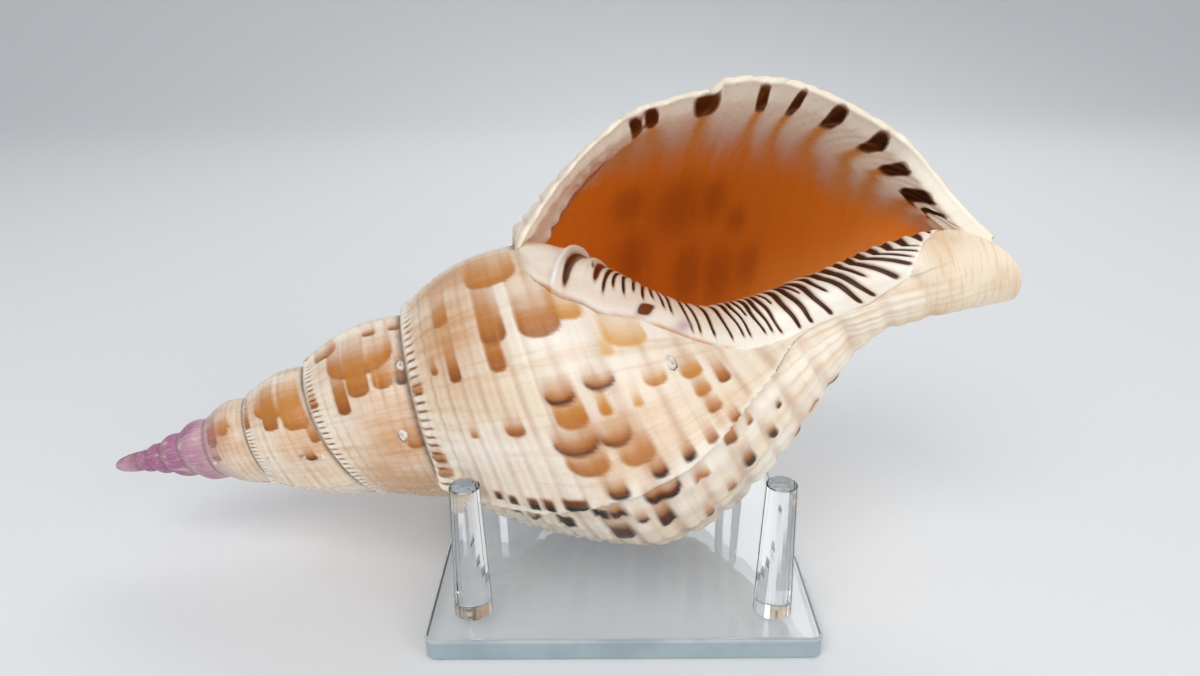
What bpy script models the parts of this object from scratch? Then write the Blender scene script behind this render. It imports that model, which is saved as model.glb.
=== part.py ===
"""A triton shell lying on a clear acrylic stand: one shell, one plate and four tapered pegs.

The shell is one coiled strip. Each row of points is one growth line, at one growth angle in degrees,
counted from 0 just above the coiling axis and increasing to the outer lip. Along a row the points run
from the suture down the whorl, over the base and out to the tip of the siphonal canal.
"""

import math

import bmesh
import bpy
import numpy as np

MM = 0.001

# The stand.
PLATE_SIDE = 120 * MM
PLATE_THICKNESS = 7.6 * MM
PLATE_CORNER = 3.2 * MM
PLATE_CHAMFER = 0.5 * MM
PEG_HEIGHT = 45 * MM
PEG_FOOT_RADIUS = 6 * MM
PEG_TOP_RADIUS = 4.6 * MM
PEG_CHAMFER = 0.4 * MM
PEG_SPACING = 93 * MM
PEG_SIDES = 24
GAP = 0.3 * MM

# The coiling axis, from the apex to the canal.
APEX = np.array((-177.7, 0.4, 32.2)) * MM
AXIS_TILT = math.radians(12.3)
AXIS = np.array((math.cos(AXIS_TILT), 0, math.sin(AXIS_TILT)))
CANAL_BEND = 11 * MM
CANAL_BEND_FROM = 222 * MM
CANAL_BEND_TO = 285 * MM
BODY_LIFT = 1.5 * MM
BODY_SWAY = 5 * MM
BODY_FROM = 140 * MM
BODY_TO = 220 * MM

# How the shell grows.
WHORL_RATIO = 1.428
FIRST_ANGLE = -7 * 360
LIP_ANGLE = 6
SUTURE_END = 157.5 * MM
SUTURE_SLOPE = 0.275
SUTURE_SWELL = 0.19
SWELL_FROM = -120
SWELL_TO = 150
WHORL_BULGE = 0.11
BODY_BULGE = 0.14
BULGE_FROM = -420
BULGE_TO = -240
BASE_END = 312 * MM
BASE_END_GAIN = 15 * MM
BASE_GAIN_TO = -210
SHOULDER_PULL = 0.21
SHOULDER_GAIN = 0.08
NECK_PULL = 0.2
NECK_RISE = 1 * MM
LIP_FROM = -70
LIP_END_LOSS = 22.7 * MM
LIP_END_RADIUS = 5.5 * MM
LIP_END_PULL = 2 * MM
NECK_RADIUS = 12 * MM
NECK_GAIN = 3 * MM
NECK_GAIN_FROM = 235 * MM
NECK_GAIN_TO = 290 * MM
CANAL_RIM = 288.5 * MM
CANAL_TIP = 306 * MM
LIP_TIP = 305.7 * MM
RIM_TURN = 19
LIP_TURN = -40
RIM_TURN_FROM = 250 * MM
LIP_TURN_FROM = 275 * MM
RIM_ROUND = 0.272
RIM_POWER = 0.8
FLARE = 9.8 * MM
FLARE_FROM = -34
FLARE_START = 155 * MM
FLARE_FULL = 215 * MM
FLARE_FADE = 218 * MM
FLARE_END = 276 * MM
# Uneven stretches of growth: angle, half width, change of the suture's reach, change of the bulge.
UNEVEN = (
    (-1290, 90, -0.06, -0.05),
    (-915, 80, -0.04, -0.03),
    (-550, 100, 0.065, -0.085),
    (-330, 90, 0.045, 0.0),
    (-210, 90, -0.045, -0.085),
    (235, 65, -0.039, 0.0),
)
# Old lips left as ridges: angle and height on a whorl of full size.
VARICES = ((-240, 2.6 * MM), (-467, 7.2 * MM), (-714, 2.6 * MM), (-960, 2.6 * MM), (-1187, 2.6 * MM))
VARIX_RISE = 24
VARIX_FALL = 3
CORD_HEIGHT = 1.5 * MM
CORD_PLACE = 0.09
CORD_WIDTH = 0.05
RIB_HEIGHT = 0.8 * MM
RIB_FADE = 0.08
NECK_RIB_FADE = 0.35
WHORL_RIBS = 9
BASE_RIBS = 11

# The hollow inside the last whorl.
WALL = 3.0 * MM
HOLLOW_DEPTH = 174
HOLLOW_COLUMNS = 14
HOLLOW_NARROW = 4 * MM
MOUTH_LENGTH = 40
GROOVE_RADIUS = 6 * MM
GROOVE_FROM = 240 * MM
GROOVE_TO = 275 * MM
GROOVE_SPAN = 20
TROUGH_LENGTH = 90
TROUGH_COLUMNS = 10
TROUGH_EDGE = 0.15
PILLAR_LOSS = 26 * MM
RIM_EASE = 1 * MM

# How finely the surface is divided: angle between rows, and points across a whorl from an angle on.
ROW_STEP = 12
ROW_CLEARANCE = 5
WHORL_COLUMNS = ((-726, 2 * WHORL_RIBS), (-1080, 12), (-1440, 9), (-math.inf, 6))
BASE_COLUMNS = 2 * BASE_RIBS
CURVE_STEPS = 60
NECK_STEPS = 20


def smoothstep(low, high, value):
    """0 on low's side and 1 on high's side, with a soft change between them."""
    part = np.clip((value - low) / (high - low), 0, 1)
    return part * part * (3 - 2 * part)


def growth(theta):
    """Size of the shell at a growth angle, 1 at angle 0."""
    return WHORL_RATIO ** (theta / 360)


def uneven(theta):
    """What the uneven stretches add to the suture's reach and to the bulge at a growth angle."""
    reach = 0.0
    bulge = 0.0
    for middle, half_width, reach_change, bulge_change in UNEVEN:
        share = math.exp(-(((theta - middle) / half_width) ** 2))
        reach += share * reach_change
        bulge += share * bulge_change
    return reach, bulge


def suture(theta):
    """Distance along the axis and from it of the suture at a growth angle."""
    along = SUTURE_END * growth(theta) * (1 + uneven(theta)[0])
    swell = 1 + SUTURE_SWELL * smoothstep(SWELL_FROM, SWELL_TO, theta)
    return np.array((along, SUTURE_SLOPE * swell * along))


def varix(theta):
    """Height of the old lips left as ridges on the whorls, on a whorl of full size."""
    height = 0.0
    for peak, full_height in VARICES:
        offset = theta - peak
        rise = np.clip(1 + offset / VARIX_RISE, 0, 1) ** 2
        fall = np.clip(1 - offset / VARIX_FALL, 0, 1)
        height += full_height * (rise if offset <= 0 else fall)
    return height


def whorl_line(theta, count):
    """Points from the suture above a whorl to the suture below it, with its ribs."""
    upper = suture(theta)
    lower = suture(theta + 360)
    chord = lower - upper
    normal = np.array((-chord[1], chord[0]))
    part = np.linspace(0, 1, count + 1)
    bulge = WHORL_BULGE + (BODY_BULGE - WHORL_BULGE) * smoothstep(BULGE_FROM, BULGE_TO, theta)
    bulge += uneven(theta)[1]
    size = growth(theta)
    ends = smoothstep(0, RIB_FADE, part) * smoothstep(0, RIB_FADE, 1 - part)
    cord = CORD_HEIGHT * size * np.exp(-(((part - CORD_PLACE) / CORD_WIDTH) ** 2))
    ribs = 0.5 * RIB_HEIGHT * size * np.cos(2 * math.pi * WHORL_RIBS * part)
    ridge = size * varix(theta)
    raised = (ribs + ridge + cord) * ends / np.hypot(*chord)
    return upper + np.outer(part, chord) + np.outer(bulge * 4 * part * (1 - part) + raised, normal)


def lip_share(theta):
    """0 on the plain part of the last whorl and 1 at the outer lip."""
    return smoothstep(LIP_FROM, LIP_ANGLE, theta)


def neck_radius(along, theta=-360):
    """Radius of the canal's neck, smaller where the lip closes in on the channel."""
    plain = NECK_RADIUS + NECK_GAIN * smoothstep(NECK_GAIN_FROM, NECK_GAIN_TO, along)
    return plain + (LIP_END_RADIUS - plain) * lip_share(theta)


def last_turn(theta):
    """Part of the last turn that is grown at an angle, from 0 at the columella's edge to 1 at the lip."""
    return (theta - LIP_ANGLE + 360) / 360


def tip_reach(theta):
    """How far along the axis a growth line of the last whorl ends."""
    done = last_turn(theta)
    rise = math.sin(math.pi / 2 * min(1, done / RIM_ROUND)) ** RIM_POWER
    return CANAL_RIM + (CANAL_TIP - CANAL_RIM) * rise - (CANAL_TIP - LIP_TIP) * done


def base_line(theta, count, tip):
    """Points from the lower suture of a whorl over its base and along the neck to a tip."""
    start = suture(theta + 360)
    size = growth(theta)
    full = smoothstep(-360, BASE_GAIN_TO, theta)
    lip = lip_share(theta)
    reach = (BASE_END + BASE_END_GAIN * full - LIP_END_LOSS * lip) * size
    end = np.array((reach, neck_radius(reach, theta)))
    first = start + np.array(((SHOULDER_PULL + SHOULDER_GAIN * full) * SUTURE_END * size, 0))
    second = end + np.array((-NECK_PULL * SUTURE_END * size, NECK_RISE)) * (1 - lip)
    second[0] -= LIP_END_PULL * lip
    step = np.linspace(0, 1, CURVE_STEPS)[:, None]
    curve = (1 - step) ** 3 * start + 3 * (1 - step) ** 2 * step * first
    curve = curve + 3 * (1 - step) * step**2 * second + step**3 * end
    if end[0] < tip:
        neck = np.linspace(end[0], tip, NECK_STEPS)[1:]
        curve = np.vstack((curve, np.column_stack((neck, neck_radius(neck, theta)))))
    else:
        last = np.interp(tip, curve[:, 0], curve[:, 1])
        curve = np.vstack((curve[curve[:, 0] < tip], (tip, last)))
    lengths = np.concatenate(((0,), np.cumsum(np.hypot(*np.diff(curve, axis=0).T))))
    part = np.linspace(0, 1, count + 1)
    line = np.column_stack([np.interp(part * lengths[-1], lengths, curve[:, i]) for i in (0, 1)])
    ends = smoothstep(0, RIB_FADE, part) * smoothstep(0, NECK_RIB_FADE, 1 - part)
    ribs = 0.5 * RIB_HEIGHT * size * np.cos(2 * math.pi * BASE_RIBS * part)
    ridge = size * varix(theta)
    return line + normals(line) * ((ribs + ridge) * ends)[:, None]


def normals(line):
    """Unit directions away from the axis, square to a line of (along, away) points."""
    slope = np.gradient(line, axis=0)
    return np.column_stack((-slope[:, 1], slope[:, 0])) / np.hypot(*slope.T)[:, None]


def flare(theta, line):
    """The last growth turned outward to make the wide lip."""
    turn = np.clip((theta - FLARE_FROM) / (LIP_ANGLE - FLARE_FROM), 0, 1) ** 2
    reach = smoothstep(FLARE_START, FLARE_FULL, line[:, 0]) * smoothstep(FLARE_END, FLARE_FADE, line[:, 0])
    return line + normals(line) * (FLARE * turn * reach)[:, None]


def turn_at_tip(theta, line):
    """Position angles along a growth line: its canal end is turned away from the opening of the canal."""
    done = last_turn(theta)
    rim = RIM_TURN * smoothstep(RIM_TURN_FROM, CANAL_RIM, line[:, 0])
    lip = LIP_TURN * smoothstep(LIP_TURN_FROM, LIP_TIP, line[:, 0])
    return theta + rim * (1 - done) + lip * done


def place(line, phi):
    """Turns (distance along the axis, distance from it) into points in space at a position angle."""
    above = np.array((-math.sin(AXIS_TILT), 0, math.cos(AXIS_TILT)))
    toward = np.array((0, -1, 0))
    phi = np.radians(np.broadcast_to(phi, len(line)))
    body = smoothstep(BODY_FROM, BODY_TO, line[:, 0])
    up = line[:, 1] * np.cos(phi) + BODY_LIFT * body
    up = up + CANAL_BEND * smoothstep(CANAL_BEND_FROM, CANAL_BEND_TO, line[:, 0])
    out = line[:, 1] * np.sin(phi) + BODY_SWAY * body
    return APEX + np.outer(line[:, 0], AXIS) + np.outer(up, above) + np.outer(out, toward)


def row_angles():
    """Growth angles of all rows, with a close pair of rows at the ledge of each varix."""
    ledges = []
    for peak, _ in VARICES:
        within = (peak - LIP_ANGLE) % 360 - 360 + LIP_ANGLE
        ledges += [within, within + VARIX_FALL]
    turn = [LIP_ANGLE - ROW_STEP * k for k in range(360 // ROW_STEP)]
    turn = [a for a in turn if a == LIP_ANGLE or all(abs(a - ledge) > ROW_CLEARANCE for ledge in ledges)]
    turn = sorted(set(turn) | set(ledges))
    turns = -FIRST_ANGLE // 360
    return [angle - 360 * k for k in range(turns, -1, -1) for angle in turn], len(turn)


def whorl_columns(theta):
    return next(columns for limit, columns in WHORL_COLUMNS if theta >= limit)


def zip_rows(faces, first, second):
    """Faces between two rows of points that may differ in number."""
    i = j = 0
    while i < len(first) - 1 or j < len(second) - 1:
        next_i = (i + 1) / (len(first) - 1) if i < len(first) - 1 else 2
        next_j = (j + 1) / (len(second) - 1) if j < len(second) - 1 else 2
        corners = [first[i], second[j]]
        if next_j <= next_i + 1e-9:
            j += 1
            corners.append(second[j])
        if next_i <= next_j + 1e-9 and len(corners) < 4:
            i += 1
            corners.append(first[i])
        corners = list(dict.fromkeys(corners))
        if len(corners) > 2:
            faces.append(corners)


def outer_line(theta, columns):
    """A growth line of the last whorl, from the suture to the canal's tip."""
    line = np.vstack((whorl_line(theta, columns), base_line(theta, BASE_COLUMNS, tip_reach(theta))[1:]))
    return flare(theta, line)


def hollow_end(theta):
    """How far along the axis the hollow reaches at a growth angle."""
    line = base_line(theta, CURVE_STEPS, CANAL_TIP)
    narrow = NECK_RADIUS + WALL + HOLLOW_NARROW
    natural = line[line[:, 1] > narrow][-1, 0]
    open_end = smoothstep(MOUTH_LENGTH, 0, LIP_ANGLE - theta)
    return natural + (LIP_TIP - natural) * open_end


def hollow_lines(theta):
    """The two sides of the hollow at a growth angle: under the outer wall, and along the columella."""
    end = hollow_end(theta)
    whorl = whorl_line(theta, HOLLOW_COLUMNS // 2)
    outer = np.vstack((whorl, base_line(theta, HOLLOW_COLUMNS, end)[1:]))
    outer = flare(theta, outer)
    outer = (outer - normals(outer) * WALL)[1:]
    depth = LIP_ANGLE - theta
    shorter = PILLAR_LOSS * smoothstep(2 * TROUGH_LENGTH, TROUGH_LENGTH, depth)
    reach = CANAL_RIM + (end - shorter - CANAL_RIM) * smoothstep(0, ROW_STEP, depth)
    inner = base_line(theta - 360, HOLLOW_COLUMNS, reach)[1:]
    sunk = smoothstep(0, GROOVE_SPAN, depth) * smoothstep(GROOVE_FROM, GROOVE_TO, inner[:, 0])
    inner[:, 1] += (GROOVE_RADIUS - inner[:, 1]) * sunk
    rim = RIM_TURN * smoothstep(RIM_TURN_FROM, CANAL_RIM, inner[:, 0])
    rim = rim * smoothstep(TROUGH_LENGTH, 0, depth)
    return place(outer, turn_at_tip(theta, outer)), place(inner, theta + rim)


def trough(theta, wall_end, pillar_end):
    """Points across the canal's channel at a growth angle, from the columella's side to the lip's side."""
    depth = smoothstep(TROUGH_LENGTH, 0, LIP_ANGLE - theta)
    floor = []
    for k in range(1, TROUGH_COLUMNS):
        part = k / TROUGH_COLUMNS
        grown = LIP_ANGLE - 360 * (1 - part)
        tip = tip_reach(grown) - RIM_EASE
        flat = pillar_end + (wall_end - pillar_end) * part
        level = (flat - APEX) @ AXIS
        along = tip + (level - tip) * (1 - depth)
        radius = neck_radius(along, grown) - WALL * smoothstep(0, TROUGH_EDGE, part)
        deep = place(np.array(((along, radius),)), grown + RIM_TURN * (1 - part) + LIP_TURN * part)[0]
        floor.append(flat + (deep - flat) * depth)
    return np.array(floor)


def shell_surface():
    """Points and faces of the closed shell: spire, last whorl, lip, hollow and canal."""
    points = []
    faces = []

    def add(new):
        points.extend(new)
        return list(range(len(points) - len(new), len(points)))

    angles, turn = row_angles()
    mouth = len(angles) - 1 - turn
    ends = [whorl_columns(theta) for theta in angles]
    rows = []
    for i, theta in enumerate(angles):
        if i >= mouth:
            line = outer_line(theta, ends[i])
            placed = place(line, turn_at_tip(theta, line))
        else:
            placed = place(whorl_line(theta, ends[i]), theta)
        start = [rows[i - turn][ends[i - turn]]] if i >= turn else add(placed[:1])
        rows.append(start + add(placed[1:]))
    for i in range(mouth):
        zip_rows(faces, rows[i][: ends[i] + 1], rows[i + 1][: ends[i + 1] + 1])
    for i in range(mouth, len(rows) - 1):
        zip_rows(faces, rows[i], rows[i + 1])

    # The apex closes the first turn.
    apex = add([APEX])[0]
    edge = [row[0] for row in rows[:turn]] + rows[0][ends[0] :: -1]
    faces.extend([apex, one, two] for one, two in zip(edge, edge[1:]))

    # The lip's rim, then the walls of the hollow from the mouth inward, with the canal's trough between them.
    columella = rows[mouth][ends[mouth] + 1 :]
    lip = outer_line(LIP_ANGLE, ends[-1])
    inset = (lip - normals(lip) * WALL)[1:]
    under = columella[:1] + add(place(inset, turn_at_tip(LIP_ANGLE, inset)))
    zip_rows(faces, rows[-1], under)
    floor = columella[-1:] + add(trough(LIP_ANGLE, points[under[-1]], points[columella[-1]])) + under[-1:]
    zip_rows(faces, [row[-1] for row in rows[mouth:]], floor)
    for theta in [angle for angle in angles[-2::-1] if angle > LIP_ANGLE - HOLLOW_DEPTH]:
        wall, pillar = hollow_lines(theta)
        next_columella = add(pillar)
        next_under = next_columella[:1] + add(wall)
        zip_rows(faces, under, next_under)
        zip_rows(faces, columella, next_columella)
        ends_meet = LIP_ANGLE - theta > TROUGH_LENGTH
        across = [] if ends_meet else add(trough(theta, wall[-1], pillar[-1]))
        next_floor = next_columella[-1:] + across + next_under[-1:]
        zip_rows(faces, floor, next_floor)
        under, columella, floor = next_under, next_columella, next_floor
    zip_rows(faces, under, columella)
    return np.array(points), faces


def clear_scene():
    for old in list(bpy.data.objects):
        bpy.data.objects.remove(old, do_unlink=True)


def material(name, colour, roughness, transmission=0.0):
    made = bpy.data.materials.new(name)
    made.use_nodes = True
    surface = made.node_tree.nodes["Principled BSDF"]
    surface.inputs["Base Color"].default_value = (*colour, 1)
    surface.inputs["Roughness"].default_value = roughness
    surface.inputs["Metallic"].default_value = 0
    surface.inputs["Transmission Weight"].default_value = transmission
    return made


def add_object(name, mesh, finish):
    mesh.materials.append(finish)
    made = bpy.data.objects.new(name, mesh)
    bpy.context.scene.collection.objects.link(made)
    return made


def add_shell(finish):
    points, faces = shell_surface()
    mesh = bpy.data.meshes.new("shell")
    mesh.from_pydata(points.tolist(), [], faces)
    shape = bmesh.new()
    shape.from_mesh(mesh)
    bmesh.ops.recalc_face_normals(shape, faces=shape.faces)
    if shape.calc_volume(signed=True) < 0:
        bmesh.ops.reverse_faces(shape, faces=shape.faces)
    shape.to_mesh(mesh)
    shape.free()
    mesh.shade_smooth()
    mesh.set_sharp_from_angle(angle=math.radians(50))
    return add_object("shell", mesh, finish)


def add_plate(finish):
    """The square plate, with rounded corners and a narrow polished chamfer."""
    mesh = bpy.data.meshes.new("stand_plate")
    shape = bmesh.new()
    bmesh.ops.create_cube(shape, size=1)
    bmesh.ops.scale(shape, vec=(PLATE_SIDE, PLATE_SIDE, PLATE_THICKNESS), verts=shape.verts)
    upright = [edge for edge in shape.edges if abs(edge.verts[0].co.z - edge.verts[1].co.z) > GAP]
    bmesh.ops.bevel(
        shape, geom=upright, offset=PLATE_CORNER, segments=6, profile=0.5, affect="EDGES", clamp_overlap=True
    )
    around = [edge for edge in shape.edges if abs(edge.verts[0].co.z - edge.verts[1].co.z) < GAP]
    bmesh.ops.bevel(shape, geom=around, offset=PLATE_CHAMFER, segments=2, profile=0.5, affect="EDGES")
    bmesh.ops.recalc_face_normals(shape, faces=shape.faces)
    shape.to_mesh(mesh)
    shape.free()
    mesh.shade_smooth()
    mesh.set_sharp_from_angle(angle=math.radians(30))
    plate = add_object("stand_plate", mesh, finish)
    plate.location = (0, 0, PLATE_THICKNESS / 2)
    return plate


def peg_mesh():
    """A turned peg standing on its foot, a little narrower at the top, with both edges eased."""
    outline = (
        (PEG_FOOT_RADIUS - PEG_CHAMFER, 0),
        (PEG_FOOT_RADIUS, PEG_CHAMFER),
        (PEG_TOP_RADIUS, PEG_HEIGHT - PEG_CHAMFER),
        (PEG_TOP_RADIUS - PEG_CHAMFER, PEG_HEIGHT),
    )
    mesh = bpy.data.meshes.new("peg")
    shape = bmesh.new()
    rings = []
    for radius, height in outline:
        angles = [2 * math.pi * k / PEG_SIDES for k in range(PEG_SIDES)]
        rings.append([shape.verts.new((radius * math.cos(a), radius * math.sin(a), height)) for a in angles])
    for low, high in zip(rings, rings[1:]):
        for k in range(PEG_SIDES):
            after = (k + 1) % PEG_SIDES
            shape.faces.new((low[k], low[after], high[after], high[k]))
    shape.faces.new(rings[0][::-1])
    shape.faces.new(rings[-1])
    shape.to_mesh(mesh)
    shape.free()
    mesh.shade_smooth()
    mesh.set_sharp_from_angle(angle=math.radians(30))
    return mesh


def add_pegs(finish):
    mesh = peg_mesh()
    mesh.materials.append(finish)
    for depth, side_y in (("front", -1), ("back", 1)):
        for side, side_x in (("left", -1), ("right", 1)):
            peg = bpy.data.objects.new(f"peg_{depth}_{side}", mesh)
            bpy.context.scene.collection.objects.link(peg)
            peg.location = (side_x * PEG_SPACING / 2, side_y * PEG_SPACING / 2, PLATE_THICKNESS + GAP)


clear_scene()
add_shell(material("shell", (0.83, 0.68, 0.52), 0.3))
clear = material("clear_acrylic", (0.92, 0.96, 1.0), 0.05, 1.0)
add_plate(clear)
add_pegs(clear)
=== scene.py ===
import math
import random

import bmesh
import bpy
import numpy as np
from mathutils import Matrix, Vector


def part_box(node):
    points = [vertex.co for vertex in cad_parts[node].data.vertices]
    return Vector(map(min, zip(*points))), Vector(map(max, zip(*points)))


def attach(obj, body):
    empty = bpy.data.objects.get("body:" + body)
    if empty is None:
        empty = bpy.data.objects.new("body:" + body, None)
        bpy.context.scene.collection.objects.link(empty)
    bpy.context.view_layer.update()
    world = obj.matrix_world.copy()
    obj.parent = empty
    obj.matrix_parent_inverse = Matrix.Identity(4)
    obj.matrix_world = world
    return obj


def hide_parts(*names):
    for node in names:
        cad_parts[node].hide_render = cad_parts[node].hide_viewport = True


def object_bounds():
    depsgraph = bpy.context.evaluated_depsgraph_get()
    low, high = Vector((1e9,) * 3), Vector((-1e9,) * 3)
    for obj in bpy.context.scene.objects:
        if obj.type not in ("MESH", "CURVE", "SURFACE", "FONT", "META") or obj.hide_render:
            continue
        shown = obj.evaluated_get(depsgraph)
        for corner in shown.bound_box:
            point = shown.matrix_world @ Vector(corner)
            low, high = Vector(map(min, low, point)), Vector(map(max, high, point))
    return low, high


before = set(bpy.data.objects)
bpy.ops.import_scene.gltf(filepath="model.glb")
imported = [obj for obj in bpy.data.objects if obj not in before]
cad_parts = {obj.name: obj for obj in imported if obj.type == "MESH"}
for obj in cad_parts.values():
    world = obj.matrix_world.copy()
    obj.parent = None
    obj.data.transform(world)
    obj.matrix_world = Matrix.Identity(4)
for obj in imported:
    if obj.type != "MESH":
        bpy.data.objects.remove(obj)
cad_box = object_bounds()

MM = 0.001

# The coiling axis, from the apex to the canal.
APEX = np.array((-177.7, 0.4, 32.2)) * MM
AXIS_TILT = math.radians(12.3)
AXIS = np.array((math.cos(AXIS_TILT), 0, math.sin(AXIS_TILT)))
CANAL_BEND = 11 * MM
CANAL_BEND_REACH = 222 * MM, 285 * MM
BODY_LIFT = 1.5 * MM
BODY_SWAY = 5 * MM
BODY_REACH = 140 * MM, 220 * MM

# How the shell grows: growth angles in degrees, 0 just above the axis, up to the lip.
WHORL_RATIO = 1.428
LIP_ANGLE = 6
SUTURE_END = 157.5 * MM
SUTURE_SLOPE = 0.275
SUTURE_SWELL = 0.19
SWELL_TURNS = -120, 150
WHORL_BULGE = 0.11
BODY_BULGE = 0.14
BULGE_TURNS = -420, -240
BASE_END = 312 * MM
BASE_END_GAIN = 15 * MM
BASE_GAIN_TO = -210
SHOULDER_PULL = 0.21
SHOULDER_GAIN = 0.08
NECK_PULL = 0.2
NECK_RISE = 1 * MM
LIP_FROM = -70
LIP_END_LOSS = 22.7 * MM
LIP_END_RADIUS = 5.5 * MM
LIP_END_PULL = 2 * MM
NECK_RADIUS = 12 * MM
NECK_GAIN = 3 * MM
NECK_GAIN_REACH = 235 * MM, 290 * MM
CANAL_RIM = 288.5 * MM
CANAL_TIP = 306 * MM
LIP_TIP = 305.7 * MM
RIM_TURN = 19
LIP_TURN = -40
RIM_TURN_FROM = 250 * MM
LIP_TURN_FROM = 275 * MM
RIM_ROUND = 0.272
RIM_POWER = 0.8
FLARE = 9.8 * MM
FLARE_FROM = -34
FLARE_RISE = 163 * MM, 232 * MM
FLARE_FADE = 276 * MM, 218 * MM
FLARE_DIP = (203 * MM, 218 * MM), (229.5 * MM, 226.5 * MM)
# Where growth was uneven: angle, half width, change of reach and of bulge.
UNEVEN = (
    (-1290, 90, -0.06, -0.05), (-915, 80, -0.04, -0.03), (-550, 100, 0.065, -0.085), (-330, 90, 0.045, 0),
    (-210, 90, -0.045, -0.085), (235, 65, -0.039, 0),
)

# Relief of the outside, on a whorl of full size.
VARICES = ((-467, 7.2 * MM), (-714, 2.6 * MM), (-960, 2.6 * MM), (-1187, 2.6 * MM))
VARIX_RISE = 24
VARIX_FALL = 3
LAST_VARIX = (
    (0, -248), (0.67, -248), (1.05, -254), (1.24, -255.5), (1.45, -264), (1.51, -272), (1.7, -290),
    (2, -320),
)
LAST_VARIX_HEIGHT = 3.2 * MM
LAST_VARIX_FALL = 1.4
CORD_PLACE = 0.085
CORD_WIDTH = 0.05
CORD_HEIGHT = 2.0 * MM
# Degrees from bead to bead.
BEAD_SPACING = 4.2
TIP_RADIUS = 2.4 * MM
TIP_LENGTH = 3.5 * MM
EARLY_TURNS = -1500, -1100
EARLY_BULGE = 4.5 * MM
WHORL_RIBS = 9
BASE_RIBS = 11
# Depth of the grooves between the ribs, in mm, and what the part newer than the last varix adds.
RIB_DEPTH = 0.42
NEWER_RIB_DEPTH = 0.5
# Low knots of the newer part, pleats below the suture and growth wrinkles: spacings in degrees.
KNOT_SPACING = 11.0
KNOT_HEIGHT = 0.8 * MM
PLEAT_SPACING = 7.3
PLEAT_HEIGHT = 0.5 * MM
WRINKLE_HEIGHT = 0.14 * MM
RIB_FADE = 0.08
NECK_RIB_FADE = 0.35

# The hollow.
WALL = 3.0 * MM
HOLLOW_DEPTH = 174
HOLLOW_NARROW = 4 * MM
MOUTH_LENGTH = 40
GROOVE_RADIUS = 6 * MM
GROOVE_REACH = 240 * MM, 275 * MM
GROOVE_SPAN = 20
TROUGH_LENGTH = 90
TROUGH_COLUMNS = 12
TROUGH_EDGE = 0.15
PILLAR_LOSS = 26 * MM
RIM_EASE = 1 * MM
PILLAR_EASE = 12

# How finely the surface is divided: angle between growth lines and points across, turn by turn.
TURNS = ((10, 4), (8, 6), (6, 8), (5, 12), (4, 18), (2, 30), (1.2, 46), (1, 62))
BASE_COLUMNS = 110
BASE_CLOSE = 72
BASE_CLOSE_TO = 0.54
WALL_COLUMNS = (50, 89)
DEEP_WALL_COLUMNS = (19, 34)
PILLAR_COLUMNS = 55
DEEP_PILLAR_COLUMNS = 34
NEAR_DEPTH = 60
NEAR_STEP = 1.5
DEEP_STEP = 4.0
CURVE_STEPS = 90
NECK_STEPS = 30


def ease(low, high, value):
    """0 at low and 1 at high, with a soft change between them."""
    part = np.clip((value - low) / (high - low), 0, 1)
    return part * part * (3 - 2 * part)


def hump(value, middle, half, power=2):
    """1 at the middle, fading out to both sides."""
    return np.exp(-(np.abs((value - middle) / half) ** power))


def read_off(table, value):
    return np.interp(value, *zip(*table))


def growth(theta):
    return WHORL_RATIO ** (theta / 360)


def uneven(theta):
    """Changes of reach and bulge at some turns."""
    return sum(hump(theta, middle, half) * np.array(change) for middle, half, *change in UNEVEN)


def suture(theta):
    along = SUTURE_END * growth(theta) * (1 + uneven(theta)[0])
    swell = 1 + SUTURE_SWELL * ease(*SWELL_TURNS, theta)
    return np.array((along, SUTURE_SLOPE * swell * along))


def whorl_line(theta, count):
    """The smooth line from the suture above a whorl to the suture below it."""
    upper = suture(theta)
    chord = suture(theta + 360) - upper
    normal = np.array((-chord[1], chord[0]))
    part = np.linspace(0, 1, count + 1)
    bulge = WHORL_BULGE + (BODY_BULGE - WHORL_BULGE) * ease(*BULGE_TURNS, theta)
    bulge += uneven(theta)[1]
    return upper + np.outer(part, chord) + np.outer(bulge * 4 * part * (1 - part), normal)


def lip_share(theta):
    return ease(LIP_FROM, LIP_ANGLE, theta)


def neck_radius(along, theta=-360):
    plain = NECK_RADIUS + NECK_GAIN * ease(*NECK_GAIN_REACH, along)
    return plain + (LIP_END_RADIUS - plain) * lip_share(theta)


def last_turn(theta):
    return (theta - LIP_ANGLE + 360) / 360


def tip_reach(theta):
    done = last_turn(theta)
    rise = math.sin(math.pi / 2 * min(1, max(0, done) / RIM_ROUND)) ** RIM_POWER
    return CANAL_RIM + (CANAL_TIP - CANAL_RIM) * rise - (CANAL_TIP - LIP_TIP) * done


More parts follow.
